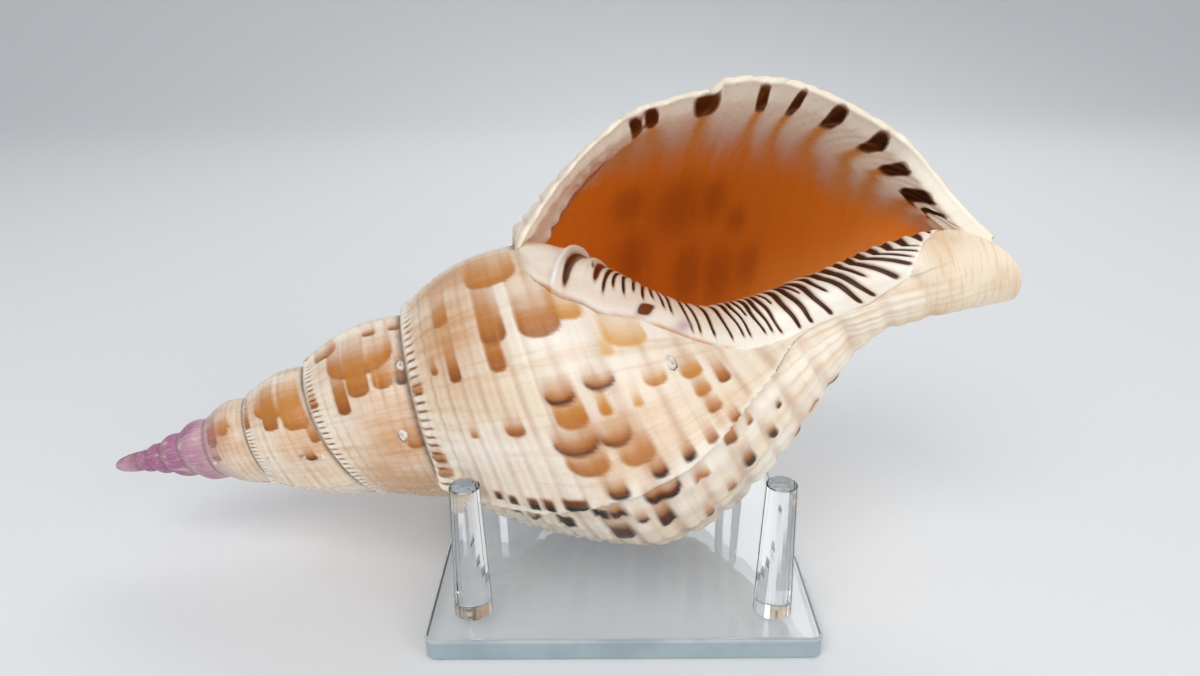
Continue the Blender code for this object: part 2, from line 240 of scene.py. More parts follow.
def base_curve(theta, tip):
    """Close points of the smooth line from the lower suture over the base and along the neck to a tip."""
    start = suture(theta + 360)
    size = growth(theta)
    full = ease(-360, BASE_GAIN_TO, theta)
    lip = lip_share(theta)
    reach = (BASE_END + BASE_END_GAIN * full - LIP_END_LOSS * lip) * size
    end = np.array((reach, neck_radius(reach, theta)))
    first = start + np.array(((SHOULDER_PULL + SHOULDER_GAIN * full) * SUTURE_END * size, 0))
    second = end + np.array((-NECK_PULL * SUTURE_END * size, NECK_RISE)) * (1 - lip)
    second[0] -= LIP_END_PULL * lip
    step = np.linspace(0, 1, CURVE_STEPS)[:, None]
    curve = (1 - step) ** 3 * start + 3 * (1 - step) ** 2 * step * first
    curve = curve + 3 * (1 - step) * step**2 * second + step**3 * end
    if end[0] < tip:
        neck = np.linspace(end[0], tip, NECK_STEPS)[1:]
        return np.vstack((curve, np.column_stack((neck, neck_radius(neck, theta)))))
    last = np.interp(tip, curve[:, 0], curve[:, 1])
    return np.vstack((curve[curve[:, 0] < tip], (tip, last)))


def base_parts():
    """Shares of the base's length at its columns: close together where the marks are, wider on the neck."""
    close = np.linspace(0, BASE_CLOSE_TO, BASE_CLOSE + 1)
    return np.concatenate((close, np.linspace(BASE_CLOSE_TO, 1, BASE_COLUMNS - BASE_CLOSE + 1)[1:]))


def base_spread(count):
    """The same spacing with fewer columns, for the rows inside the mouth."""
    parts = base_parts()
    return np.interp(np.linspace(0, 1, count + 1), np.linspace(0, 1, len(parts)), parts)


def base_line(theta, parts, tip):
    """Points of the smooth base line at some shares of its length, or at a number of equal steps."""
    curve = base_curve(theta, tip)
    lengths = np.concatenate(((0,), np.cumsum(np.hypot(*np.diff(curve, axis=0).T))))
    part = np.linspace(0, 1, parts + 1) if np.isscalar(parts) else parts
    return np.column_stack([np.interp(part * lengths[-1], lengths, curve[:, i]) for i in (0, 1)])


def normals(line):
    slope = np.gradient(line, axis=0)
    return np.column_stack((-slope[:, 1], slope[:, 0])) / np.hypot(*slope.T)[:, None]


def flare(theta, line):
    along = line[:, 0]
    turn = np.clip((theta - FLARE_FROM) / (LIP_ANGLE - FLARE_FROM), 0, 1) ** 2
    reach = ease(*FLARE_RISE, along) * ease(*FLARE_FADE, along)
    reach = reach * (1 - 0.3 * ease(*FLARE_DIP[0], along) * ease(*FLARE_DIP[1], along))
    return line + normals(line) * (FLARE * turn * reach)[:, None]


def turn_at_tip(theta, line):
    done = last_turn(theta)
    rim = RIM_TURN * ease(RIM_TURN_FROM, CANAL_RIM, line[:, 0])
    lip = LIP_TURN * ease(LIP_TURN_FROM, LIP_TIP, line[:, 0])
    return theta + rim * (1 - done) + lip * done


def place(line, phi):
    above = np.array((-math.sin(AXIS_TILT), 0, math.cos(AXIS_TILT)))
    toward = np.array((0, -1, 0))
    phi = np.radians(np.broadcast_to(phi, len(line)))
    body = ease(*BODY_REACH, line[:, 0])
    up = line[:, 1] * np.cos(phi) + BODY_LIFT * body
    up = up + CANAL_BEND * ease(*CANAL_BEND_REACH, line[:, 0])
    out = line[:, 1] * np.sin(phi) + BODY_SWAY * body
    return APEX + np.outer(line[:, 0], AXIS) + np.outer(up, above) + np.outer(out, toward)


# The callus: where it ends on the base, by distance along the axis, and its folds.
CALLUS_EDGE = (
    (150, 0), (156, 6), (157, 11), (159, 22), (165, 33), (172, 42), (178, 45), (182, 49), (193, 51),
    (201, 57), (209, 65), (214, 70), (221, 76), (229, 81), (236, 84), (252, 85), (261, 83), (268, 72),
    (273, 64), (277, 44), (280, 24), (286, 6), (292, -4),
)
CALLUS_FROM = -84
CALLUS_TO = 92
CALLUS_ROWS = 140
CALLUS_COLUMNS = 420
CALLUS_END = 291 * MM
# Its thickness, how deep its edge is sunk, and its folds and grooves, in mm.
CALLUS_THICKNESS = 0.55
CALLUS_SUNK = 0.5
FOLD_HEIGHT = 0.55
GROOVE_DEPTH = 0.35
# Grooves between the folds: place on the axis 20 degrees below the mouth's edge, angle where each ends, and
# half width.
GROOVES = (
    (175.5, 42, 1.2), (182.4, 32, 0.95), (185, 39, 0.48), (187.2, 34, 0.38), (189.4, 37, 0.38),
    (191.8, 32, 0.38), (194.4, 37, 0.42), (196.8, 33, 0.44), (198.8, 40, 0.38), (200.8, 44, 0.5),
    (204.7, 64, 0.45), (207, 62, 0.53), (211, 64, 0.63), (215.4, 68, 0.58), (219, 66, 0.53),
    (221.4, 67, 0.43), (223.5, 36, 0.38), (225.6, 68, 0.53), (227.9, 69, 0.5), (230.2, 75, 0.5),
    (232.4, 28, 0.38), (235.2, 80, 0.72), (238.7, 79, 0.72), (241, 30, 0.51), (243.2, 79, 0.72),
    (246.4, 46, 0.62), (249.6, 82, 0.78), (252.6, 78, 0.84), (256, 47, 0.75), (259.6, 61, 0.9),
    (262.9, 48, 1), (266.4, 38, 1), (270.6, 34, 1.1), (275.2, 27, 1.3), (280.2, 23, 1.3), (284.2, 16, 1),
)
# How far along the axis the folds shift per degree, in mm.
FOLD_SLANT = (
    (160, -0.17), (176, -0.15), (182, -0.1), (190, -0.03), (200, 0.05), (225, 0.06), (235, 0.08),
    (243, 0.11), (249, 0.165), (253, 0.2), (260, 0.27), (263, 0.48), (268, 0.62), (276, 0.85), (292, 0.9),
)
# Teeth: as the grooves, and a height.
TOOTH = (172.4, 38, 0.8, 2.1)
SECOND_TOOTH = (179.1, 36, 0.9, 0.8)

# The lip. Notches of its edge: place across, half width, depth in degrees.
LIP_NOTCHES = (
    (0.875, 0.035, 1.1), (0.935, 0.07, 2.2), (0.66, 0.05, 0.9), (0.5, 0.04, 0.8), (0.3, 0.04, 0.7),
    (1.19, 0.03, 0.7), (1.38, 0.02, 0.8), (1.55, 0.025, 1.2), (1.68, 0.03, 0.9),
)
LIP_TRIM_FROM = -14
RIM_SPAN = 2.6
# Dark marks of its face: start and end in degrees, share of the way across at both, half width, and where the
# ray behind the mark ends, with its share there.
LIP_MARKS = (
    (4, -12, 0.237, 0.249, 0.0092, -26, 0.24), (5, -10, 0.261, 0.271, 0.0098, -28, 0.288),
    (6, -11, 0.328, 0.346, 0.0165, -38, 0.375), (5, -13, 0.423, 0.468, 0.011, -46, 0.515),
    (6, -13, 0.491, 0.531, 0.01, -48, 0.594), (6, -14, 0.576, 0.621, 0.0165, -55, 0.707),
    (5, -18, 0.681, 0.738, 0.0185, -60, 0.808), (-3, -25, 0.781, 0.838, 0.0205, -72, 0.85),
    (-5, -34, 0.868, 0.944, 0.023, -78, 0.88), (-9, -34, 0.93, 0.992, 0.0095, -56, 0.96),
)
# Where the pale face ends and the orange starts: share of the way across, and degrees behind the lip.
FACE_END = (
    (0, 52), (0.06, 50), (0.1, 46), (0.17, 35), (0.225, 25), (0.26, 21), (0.3, 23), (0.34, 31), (0.39, 42),
    (0.49, 49), (0.66, 53), (0.81, 66), (0.93, 72), (1, 74),
)
FACE_SHARP_TO = 0.275
ORANGE_FROM = (
    (0, 52), (0.06, 50), (0.1, 46), (0.14, 41), (0.17, 41), (0.2, 43), (0.26, 45), (0.34, 46), (0.39, 47),
    (0.49, 50), (0.66, 53), (0.81, 66), (0.93, 72), (1, 74),
)
# Its teeth: growth angle, share of the way across.
LIP_TEETH = (-40, 0.07), (-34, 0.092), (-29, 0.112), (-20, 0.146), (-14, 0.16), (-12, 0.19)
# Heights on the inner side of its face, in mm, and the number of its folds.
FACE_STEP = 1.5
LIP_TOOTH_HEIGHT = 1.3
LIP_SWELL = 0.5
LIP_FOLDS = 33
LIP_FOLD_HEIGHT = 0.25
# Dusky patches inside the mouth: growth angle, share of the way across, half length, half width.
DUSK = (
    (-59, 0.36, 13, 0.06), (-54, 0.258, 8, 0.035), (-58, 0.449, 9, 0.04), (-86, 0.404, 12, 0.045),
    (-87, 0.494, 12, 0.05), (-84, 0.573, 9, 0.035), (-76, 0.27, 10, 0.035), (-66, 0.52, 6, 0.03),
)

# Small crusts: growth angle, place across, half width in mm, how brown the rim is, and the side where the
# brown is strongest, which is partly painted shade.
CRUSTS = (
    (-677, 0.965, 1.8, 0.9, 210), (-639, 0.844, 1.9, 1, 300), (-290, 1.229, 2.3, 0.8, 40),
    (-991, 0.267, 1.1, 0.8, 250), (-991, 0.7, 1, 0.8, 200), (-988, 0.889, 1.1, 0.8, 280),
    (-1347, 0.133, 0.8, 0.7, 220),
)
# Their profile: share of the half width, height in mm.
CRUST_PROFILE = (
    (0, 0.3), (0.16, 0.32), (0.34, 0.5), (0.52, 0.6), (0.7, 0.54), (0.88, 0.34), (1, -0.1), (0.9, -0.8),
    (0.5, -1.1),
)
CRUST_SIDES = 26
CRUST_COLUMNS = 120


def callus_field(grown, along):
    """How far inside the callus a place of the columella or the base lies, in degrees."""
    return read_off(CALLUS_EDGE, along / MM) - (grown + 360)


def ridge_share(offset, rise, fall):
    """A varix: a slow rise as the shell grows, and a steep fall behind its crest."""
    return np.where(offset <= 0, np.clip(1 + offset / rise, 0, 1) ** 2, np.clip(1 - offset / fall, 0, 1))


def rib_lines(across):
    """Counts the spiral ribs: a whole number at each groove between them."""
    return np.where(across <= 1, WHORL_RIBS * across, BASE_RIBS * (across - 1))


def rib_groove(across):
    """1 in the narrow grooves between the flat ribs and 0 on the ribs."""
    ribs = rib_lines(across)
    wide = np.where(np.round(ribs) % 2 == 0, 0.10, 0.14)
    thin = ribs + 0.5 - np.round(ribs + 0.5)
    return hump(ribs, np.round(ribs), wide) + 0.35 * hump(thin, 0, 0.05)


def bead(theta):
    """1 on the beads of the cord below the suture, and 0 in the gaps."""
    return np.abs(np.sin(math.pi * theta / BEAD_SPACING)) ** 1.2


def cord(across):
    return hump(across, CORD_PLACE, CORD_WIDTH, 2.6)


def relief(theta, across, along):
    """Height of the ribs, beads, varices and growth wrinkles over the smooth outside."""
    size = growth(theta)
    whorl = across <= 1
    part = np.where(whorl, across, across - 1)
    ends = np.where(
        whorl,
        ease(0, 0.03, part) * (1 if theta > LIP_ANGLE - 360 else ease(0, 0.03, 1 - part)),
        ease(0, NECK_RIB_FADE, 1 - part),
    )
    varix_angle = read_off(LAST_VARIX, across)
    newer = ease(varix_angle, varix_angle + 3, theta)
    groove = rib_groove(across)
    depth = RIB_DEPTH + RIB_DEPTH * hump(across, 0.27, 0.16) + NEWER_RIB_DEPTH * newer
    knots = 0.5 + 0.5 * np.cos(2 * math.pi * theta / KNOT_SPACING + 3 * np.sin(7 * across))
    height = -depth * MM * groove + KNOT_HEIGHT * newer * knots * (1 - np.clip(groove, 0, 1))
    early = 1 - ease(*EARLY_TURNS, theta)
    height = height + EARLY_BULGE * early * (np.sin(math.pi * part) - 0.7)
    pleats = 0.5 + 0.5 * np.cos(2 * math.pi * theta / PLEAT_SPACING + 1.3 * np.sin(3 * across))
    height = height + PLEAT_HEIGHT * (1 - early) * pleats * hump(part, 0.22, 0.12) * whorl
    height = height + CORD_HEIGHT * cord(across) * (0.1 + 0.9 * bead(theta))
    height = height + WRINKLE_HEIGHT * np.sin(theta / 2.9 + 2.1 * np.sin(4.2 * across)) * (0.4 + newer)
    middle = ease(0, RIB_FADE, part) * ease(0, RIB_FADE, 1 - part) * whorl
    for peak, full_height in VARICES:
        height = height + full_height * ridge_share(theta - peak, VARIX_RISE, VARIX_FALL) * middle
    last_varix = ridge_share(theta - varix_angle, VARIX_RISE, LAST_VARIX_FALL)
    height = size * (height + LAST_VARIX_HEIGHT * last_varix)
    if theta > LIP_ANGLE - 361:
        height = height * np.where(across > 0.93, ease(2, -6, callus_field(theta, along)), 1)
    return height * ends * (1 - 0.7 * ease(-20, LIP_ANGLE, theta))


def lip_trim(theta, across):
    """How far the lip's edge falls short of the full growth angle."""
    trim = 0.5 * (1 + np.cos(2 * math.pi * rib_lines(across))) * ease(2.0, 1.75, across)
    for middle, half, depth in LIP_NOTCHES:
        trim = trim + depth * hump(across, middle, half)
    return trim * ease(0, 0.1, across) * ease(LIP_TRIM_FROM, LIP_ANGLE, theta)


def outer_row(theta, columns, with_base=False):
    """Points of one growth line with its relief, and its places across and along."""
    line = whorl_line(theta, columns)
    across = np.linspace(0, 1, columns + 1)
    if with_base:
        line = np.vstack((line, base_line(theta, base_parts(), tip_reach(theta))[1:]))
        across = np.concatenate((across, 1 + base_parts()[1:]))
    along = line[:, 0].copy()
    blunt = TIP_RADIUS * np.sqrt(np.clip(along / TIP_LENGTH, 0, 1)) * ease(20 * MM, 6 * MM, along)
    line[:, 1] = np.hypot(line[:, 1], blunt)
    line = line + normals(line) * relief(theta, across, along)[:, None]
    if not with_base:
        return place(line, theta), across, along
    line = flare(theta, line)
    return place(line, turn_at_tip(theta, line) - lip_trim(theta, across)), across, along


def wall_inset(theta, share):
    """Thickness of the shell at the lip and behind it: the face is thicker where it has teeth."""
    depth = LIP_ANGLE - theta
    end = read_off(FACE_END, share)
    toothed = ease(FACE_SHARP_TO + 0.03, FACE_SHARP_TO - 0.05, share) * ease(0.0, 0.03, share)
    inset = FACE_STEP * ease(end + 1.5, end - 1.5, depth) * ease(0, 9, depth) * toothed
    for angle, place_ in LIP_TEETH:
        inset = inset + LIP_TOOTH_HEIGHT * hump(theta, angle, 3.2) * hump(share, place_, 0.0075)
    inset = inset + LIP_SWELL * hump(depth, 8, 7) * ease(0.2, 0.4, share)
    folds = LIP_FOLD_HEIGHT * np.cos(2 * math.pi * LIP_FOLDS * share)
    inset = inset + folds * ease(70, 10, depth) * ease(0, 6, depth)
    return WALL * (0.45 + 0.55 * ease(0, 12, depth)) + inset * MM


def hollow_end(theta):
    line = base_line(theta, 60, CANAL_TIP)
    narrow = NECK_RADIUS + WALL + HOLLOW_NARROW
    natural = line[line[:, 1] > narrow][-1, 0]
    open_end = ease(MOUTH_LENGTH, 0, LIP_ANGLE - theta)
    return natural + (LIP_TIP - natural) * open_end


def wall_row(theta, columns):
    """Points under the outer wall at a growth angle, and their shares of the way across."""
    whorl, base = columns
    line = np.vstack((whorl_line(theta, whorl), base_line(theta, base_spread(base), hollow_end(theta))[1:]))
    across = np.concatenate((np.linspace(0, 1, whorl + 1), 1 + base_spread(base)[1:]))
    share = np.where(across <= 1, across / 3, 1 / 3 + (across - 1) * 2 / 3)
    line = flare(theta, line)
    line = line - normals(line) * wall_inset(theta, share)[:, None]
    return place(line, turn_at_tip(theta, line) - lip_trim(theta, across))[1:], share[1:]


def pillar_shape(theta, inner):
    """The columella's line inside the mouth, sunk beside the canal."""
    depth = LIP_ANGLE - theta
    sunk = ease(0, GROOVE_SPAN, depth) * ease(*GROOVE_REACH, inner[:, 0])
    inner = inner.copy()
    inner[:, 1] += (GROOVE_RADIUS - inner[:, 1]) * sunk
    rim = RIM_TURN * ease(RIM_TURN_FROM, CANAL_RIM, inner[:, 0])
    return inner, theta + rim * ease(TROUGH_LENGTH, 0, depth)


def pillar_row(theta, columns):
    depth = LIP_ANGLE - theta
    shorter = PILLAR_LOSS * ease(2 * TROUGH_LENGTH, TROUGH_LENGTH, depth)
    reach = CANAL_RIM + (hollow_end(theta) - shorter - CANAL_RIM) * ease(0, PILLAR_EASE, depth)
    inner, phi = pillar_shape(theta, base_line(theta - 360, base_spread(columns), reach)[1:])
    return place(inner, phi), inner[:, 0]


def trough_row(theta, wall_end, pillar_end):
    depth = ease(TROUGH_LENGTH, 0, LIP_ANGLE - theta)
    floor = []
    for k in range(1, TROUGH_COLUMNS):
        part = k / TROUGH_COLUMNS
        grown = LIP_ANGLE - 360 * (1 - part)
        tip = tip_reach(grown) - RIM_EASE
        flat = pillar_end + (wall_end - pillar_end) * part
        level = (flat - APEX) @ AXIS
        along = tip + (level - tip) * (1 - depth)
        radius = neck_radius(along, grown) - WALL * ease(0, TROUGH_EDGE, part)
        deep = place(np.array(((along, radius),)), grown + RIM_TURN * (1 - part) + LIP_TURN * part)[0]
        floor.append(flat + (deep - flat) * depth)
    return np.array(floor)


# Which side of the shell a point is on.
OUTSIDE, FACE, PILLAR, CHANNEL, RIM = range(5)


class Skin:
    """Points with their side and growth values, and faces. A place can be listed again with other values."""

    def __init__(self):
        self.points, self.first, self.values = [], [], []
        self.faces, self.finishes = [], []

    def add(self, points, side, grown, across=0, along=0, first=None):
        start, count = len(self.points), len(points)
        self.points.extend(points)
        self.first.extend(first or range(start, start + count))
        self.values.extend(zip(*(np.broadcast_to(value, count) for value in (side, grown, across, along))))
        return list(range(start, start + count))

    def again(self, index, side, grown, across):
        """The same place under other growth values."""
        along = self.values[index][3]
        return self.add([self.points[index]], side, grown, across, along, [self.first[index]])[0]

    def join(self, first, second, finish):
        """Faces between two rows of points that may differ in number."""
        i = j = 0
        while i < len(first) - 1 or j < len(second) - 1:
            next_i = (i + 1) / (len(first) - 1) if i < len(first) - 1 else 2
            next_j = (j + 1) / (len(second) - 1) if j < len(second) - 1 else 2
            corners = [first[i], second[j]]
            if next_j <= next_i + 1e-9:
                j += 1
                corners.append(second[j])
            if next_i <= next_j + 1e-9 and len(corners) < 4:
                i += 1
                corners.append(first[i])
            kept = {}
            for corner in corners:
                kept.setdefault(self.first[corner], corner)
            if len(kept) > 2:
                self.faces.append(list(kept.values()))
                self.finishes.append(finish)

    def join_all(self, rows, finish):
        for first, second in zip(rows, rows[1:]):
            self.join(first, second, finish)


def shell_skin():
    """The whole shell: spire, last whorl, lip, hollow and canal."""
    skin = Skin()
    columns = TURNS[-1][1]
    turns = []
    for number, (step, count) in enumerate(TURNS):
        start = LIP_ANGLE - 360 * (len(TURNS) - number)
        last = number == len(TURNS) - 1
        rows = []
        for i in range(round(360 / step) + last):
            row = outer_row(start + step * i, count, last)
            points, across, along = row if last else [values[:-1] for values in row]
            rows.append(skin.add(points, OUTSIDE, start + step * i, across, along))
        turns.append(rows)
    final = turns[-1]
    skin.first[final[-1][0]] = final[0][columns]
    skin.points[final[-1][0]] = skin.points[final[0][columns]]

    # Each turn joins the next one at the suture below it.
    sutures = []
    for (step, _), rows in zip(TURNS[1:], turns[1:]):
        starts = [row[0] for row in rows[:round(360 / step)]]
        sutures.append([skin.again(k, OUTSIDE, skin.values[k][1] - 360, 1) for k in starts])
    for rows, suture_row, next_rows, next_suture in zip(turns, sutures, turns[1:], sutures[1:] + [None]):
        skin.join_all(rows, 0)
        skin.join([row[-1] for row in rows], suture_row, 0)
        after = next_rows[0] + next_suture[:1] if next_suture else final[0][: columns + 1]
        skin.join(rows[-1] + suture_row[-1:], after, 0)
    skin.join_all(final, 0)

    # The apex closes the first turn.
    first = turns[0]
    apex = skin.add([APEX], OUTSIDE, skin.values[first[0][0]][1], 0.5)[0]
    ring = [row[0] for row in first] + [turns[1][0][0]] + first[0][:0:-1]
    edge = np.array([skin.points[k] for k in ring])
    middle = APEX + np.outer((edge - APEX) @ AXIS, AXIS)
    for part in (0.6, 0.25, 0.06):
        dome = APEX + (middle - APEX) * part + (edge - middle) * math.sqrt(1 - (1 - part) ** 2)
        cap = skin.add(dome, OUTSIDE, [skin.values[k][1] for k in ring], 0.5)
        skin.join(ring + ring[:1], cap + cap[:1], 0)
        ring = cap
    skin.faces.extend([apex, one, two] for one, two in zip(ring, ring[1:] + ring[:1]))
    skin.finishes.extend([0] * len(ring))

    # The lip's rounded rim.
    columella = final[0][columns + 1:]
    inside, share = wall_row(LIP_ANGLE, (columns, BASE_COLUMNS))
    outside, before = (np.array([skin.points[k] for k in row[1:]]) for row in (final[-1], final[-3]))
    forward = outside - before
    forward = forward / np.maximum(np.linalg.norm(forward, axis=1), 1e-9)[:, None]
    rims = []
    for part in (0.12, 0.35, 0.62, 0.86):
        points = outside + (inside - outside) * part + forward * 0.5 * MM * math.sin(math.pi * part) ** 0.7
        rims.append(columella[:1] + skin.add(points, RIM, LIP_ANGLE + RIM_SPAN * (1 - part), share))
    under = columella[:1] + skin.add(inside, FACE, LIP_ANGLE, share)
    skin.join_all([final[-1], *rims, under], 1)

    # The walls of the hollow from the mouth inward, with the canal's trough between them.
    pillar_start = [skin.again(k, PILLAR, LIP_ANGLE - 360, skin.values[k][2]) for k in columella]
    under[0] = skin.again(columella[0], FACE, LIP_ANGLE, 0)
    channel = trough_row(LIP_ANGLE, skin.points[under[-1]], skin.points[columella[-1]])
    floor = columella[-1:] + skin.add(channel, CHANNEL, LIP_ANGLE) + under[-1:]
    skin.join([row[-1] for row in final + rims], floor, 1)
    columella = pillar_start
    near_depths = np.arange(NEAR_STEP, NEAR_DEPTH, NEAR_STEP)
    for depth in (*near_depths, *np.arange(NEAR_DEPTH, HOLLOW_DEPTH, DEEP_STEP)):
        theta = LIP_ANGLE - depth
        near = depth < NEAR_DEPTH
        wall, share = wall_row(theta, WALL_COLUMNS if near else DEEP_WALL_COLUMNS)
        pillar, along = pillar_row(theta, PILLAR_COLUMNS if near else DEEP_PILLAR_COLUMNS)
        next_columella = skin.add(pillar, PILLAR, theta - 360, 0, along)
        next_under = [skin.again(next_columella[0], FACE, theta, 0)] + skin.add(wall, FACE, theta, share)
        skin.join(under, next_under, 1)
        skin.join(columella, next_columella, 1)
        channel = []
        if depth <= TROUGH_LENGTH:
            channel = skin.add(trough_row(theta, wall[-1], pillar[-1]), CHANNEL, theta)
        next_floor = next_columella[-1:] + channel + next_under[-1:]
        skin.join(floor, next_floor, 1)
        under, columella, floor = next_under, next_columella, next_floor
    skin.join(under, columella, 1)
    return skin


# Brown marks of the outside: angle of the rounded end, place across, half width across, length, darkness,
# strength.
MARKS = (
    (-285, 0.956, 0.061, 3.2, 0.85, 1), (-277.5, 0.968, 0.058, 10, 0.3, 0.9),
    (-287, 1.071, 0.031, 3.2, 0.8, 1), (-279.5, 1.062, 0.012, 9, 0.25, 0.8),
    (-298.5, 0.71, 0.055, 22, 0.45, 0.85), (-308, 0.735, 0.08, 14, 0.5, 0.9),
    (-306.5, 0.962, 0.08, 14, 0.45, 0.95), (-311, 1.06, 0.03, 12, 0.15, 0.7),
    (-331, 0.8, 0.17, 18, 0.3, 0.7), (-299, 1.16, 0.048, 16, 0.02, 0.55),
    (-297, 1.108, 0.014, 12, 0.02, 0.5), (-283.5, 1.182, 0.027, 4.5, 0.25, 0.8),
    (-279, 1.127, 0.01, 5, 0.15, 0.8), (-281.5, 1.268, 0.028, 8, 0.25, 0.8),
    (-273, 1.272, 0.02, 6, 0.3, 0.85), (-265.5, 1.276, 0.018, 5, 0.5, 0.8),
    (-273.5, 1.335, 0.018, 11, 0.55, 0.85), (-298.5, 0.42, 0.042, 13, 0.6, 0.95),
    (-322, 0.4, 0.06, 16, 0.35, 0.7), (-277.5, 0.422, 0.024, 5, 0.4, 0.75),
    (-277, 0.68, 0.055, 4.5, 0.55, 0.95), (-303.5, 0.275, 0.03, 6, 0.5, 0.9),
    (-269, 0.935, 0.09, 5, 0.75, 0.95), (-262.5, 0.95, 0.08, 8, 0.4, 0.75),
    (-269.7, 1.06, 0.03, 4, 0.7, 0.95), (-262.5, 1.085, 0.034, 8, 0.4, 0.75), (-251.5, 0.42, 0.02, 4, 1, 1),
    (-250.5, 0.5, 0.024, 4, 1, 1), (-249.5, 0.61, 0.03, 5, 1, 1), (-249.5, 0.69, 0.03, 5, 1, 1),
    (-250, 0.83, 0.062, 5, 1, 1), (-254, 1.022, 0.02, 5, 0.85, 1), (-256.5, 1.11, 0.016, 6, 0.85, 0.9),
    (-256.5, 1.176, 0.014, 5, 0.9, 1), (-257, 1.236, 0.014, 6, 0.6, 0.85),
    (-258, 1.306, 0.014, 5, 0.6, 0.8), (-244.5, 0.905, 0.035, 4, 0.95, 1),
    (-244.5, 0.985, 0.03, 4, 0.85, 1), (-246, 1.1, 0.04, 5, 0.8, 0.95), (-230, 0.945, 0.055, 12, 1, 1),
    (-239, 1.035, 0.012, 6, 0.7, 0.8), (-233, 1.08, 0.018, 12, 0.9, 0.95),
    (-224, 1.163, 0.012, 9, 0.6, 0.7), (-248, 1.282, 0.016, 7, 0.45, 0.95),
    (-249, 1.34, 0.01, 6, 0.35, 0.8), (-231, 1.3, 0.016, 10, 0.75, 0.9), (-230.5, 1.38, 0.012, 8, 0.8, 0.9),
    (-241.5, 1.424, 0.009, 5, 0.7, 0.9), (-239, 0.45, 0.025, 5, 1, 1), (-238, 0.53, 0.03, 5, 0.9, 0.9),
    (-237, 0.7, 0.045, 6, 1, 1), (-245, 1.185, 0.02, 6, 0.2, 0.7), (-228, 1.235, 0.012, 6, 0.5, 0.7),
    (-298, 0.105, 0.045, 6, 0.35, 0.8), (-264, 0.105, 0.045, 6, 0.55, 0.9), (-330, 0.13, 0.04, 5, 0.2, 0.5),
    (-257, 0.12, 0.05, 7, 0.5, 0.7), (-656, 0.4, 0.07, 26, 0.55, 0.95), (-664, 0.585, 0.1, 22, 0.42, 0.95),
    (-665.5, 0.805, 0.085, 14, 0.4, 0.95), (-703, 0.745, 0.055, 6, 0.6, 0.9),
    (-703.5, 0.955, 0.045, 6, 0.6, 0.9), (-665.5, 0.955, 0.044, 16, 0.78, 1),
    (-630, 0.93, 0.08, 14, 0.6, 0.6), (-1016, 0.49, 0.11, 32, 0.45, 0.95),
    (-1012.5, 0.81, 0.15, 30, 0.35, 0.95), (-987, 0.79, 0.06, 7, 0.8, 1), (-1372, 0.28, 0.13, 34, 0.6, 0.9),
    (-1385, 0.6, 0.1, 20, 0.4, 0.7), (-1745, 0.3, 0.2, 26, 0.4, 0.8), (-676, 0.62, 0.3, 12, 0.42, 0.9),
    (-1026, 0.6, 0.33, 14, 0.35, 0.85), (-1386, 0.45, 0.3, 12, 0.3, 0.7), (-1350, 0.25, 0.1, 12, 0.7, 0.85),
    (-1700, 0.6, 0.22, 14, 0.6, 0.8), (-1000, 0.93, 0.05, 16, 0.5, 0.8), (-700, 0.3, 0.12, 10, 0.5, 0.8),
    (-1024, 0.11, 0.05, 22, 0.45, 0.9), (-665, 0.1, 0.05, 14, 0.4, 0.7),
)
# The side that those marks cover, in degrees round the axis.
SEEN = -18, 158
MARK_EDGE = 1.2
# How far behind its end a mark fades away, in its lengths.
MARK_TAIL = 2.4, 3.4
WHORL_SPAN = 63
BASE_SPAN = 161
# Warm ground: growth angle and place across its middle, half length, half width, strength.
WARM = (
    (-318, 0.4, 22, 0.36, 0.95), (-346, 0.55, 14, 0.45, 1), (-296, 0.62, 12, 0.12, 0.35),
    (-275, 1.1, 12, 0.12, 0.35), (-636, 0.74, 28, 0.36, 1), (-602, 0.6, 32, 0.48, 1),
    (-690, 0.4, 16, 0.4, 0.5), (-1000, 0.8, 26, 0.3, 0.8), (-1040, 0.5, 18, 0.4, 0.7),
    (-1380, 0.5, 30, 0.5, 0.8), (-1300, 0.3, 24, 0.35, 0.4), (-150, 0.5, 30, 0.3, 0.6),
    (-60, 0.8, 26, 0.4, 0.5), (-500, 0.5, 40, 0.35, 0.8), (-860, 0.6, 50, 0.4, 0.8),
    (-1200, 0.5, 50, 0.4, 0.7),
)
RNG = random.Random(47)


def more_marks():
    """Marks for the sides that the first ones leave bare, in spiral rows as on the rest."""
    made = []
    for turn in range(5):
        for rib in range(6):
            across = (0.5 + rib) / 6 + RNG.uniform(-0.02, 0.02)
            theta = LIP_ANGLE - 360 * (turn + 1) + RNG.uniform(0, 25)
            while theta < LIP_ANGLE - 360 * turn - 4:
                length = RNG.uniform(6, 17)
                half = RNG.uniform(0.045, 0.085)
                dark = RNG.uniform(0.3, 0.95)
                if not SEEN[0] < (theta + 90) % 360 - 90 < SEEN[1]:
                    made.append((theta, across, half, length, dark, RNG.uniform(0.75, 1.0)))
                theta += RNG.uniform(14, 34)
    for rib in range(9):
        across = 1 + (0.45 + rib) / 15
        theta = -210 + RNG.uniform(0, 20)
        while theta < LIP_ANGLE - 5:
            half = RNG.uniform(0.012, 0.024)
            if not SEEN[0] < (theta + 90) % 360 - 90 < SEEN[1]:
                length, dark = RNG.uniform(5, 13), RNG.uniform(0.45, 1.0)
                made.append((theta, across, half, length, dark, RNG.uniform(0.75, 1)))
            theta += RNG.uniform(12, 28)
    return made


def span(across):
    """Distance across the last whorl and the base, in mm."""
    return np.where(across <= 1, WHORL_SPAN * across, WHORL_SPAN + BASE_SPAN * (across - 1))


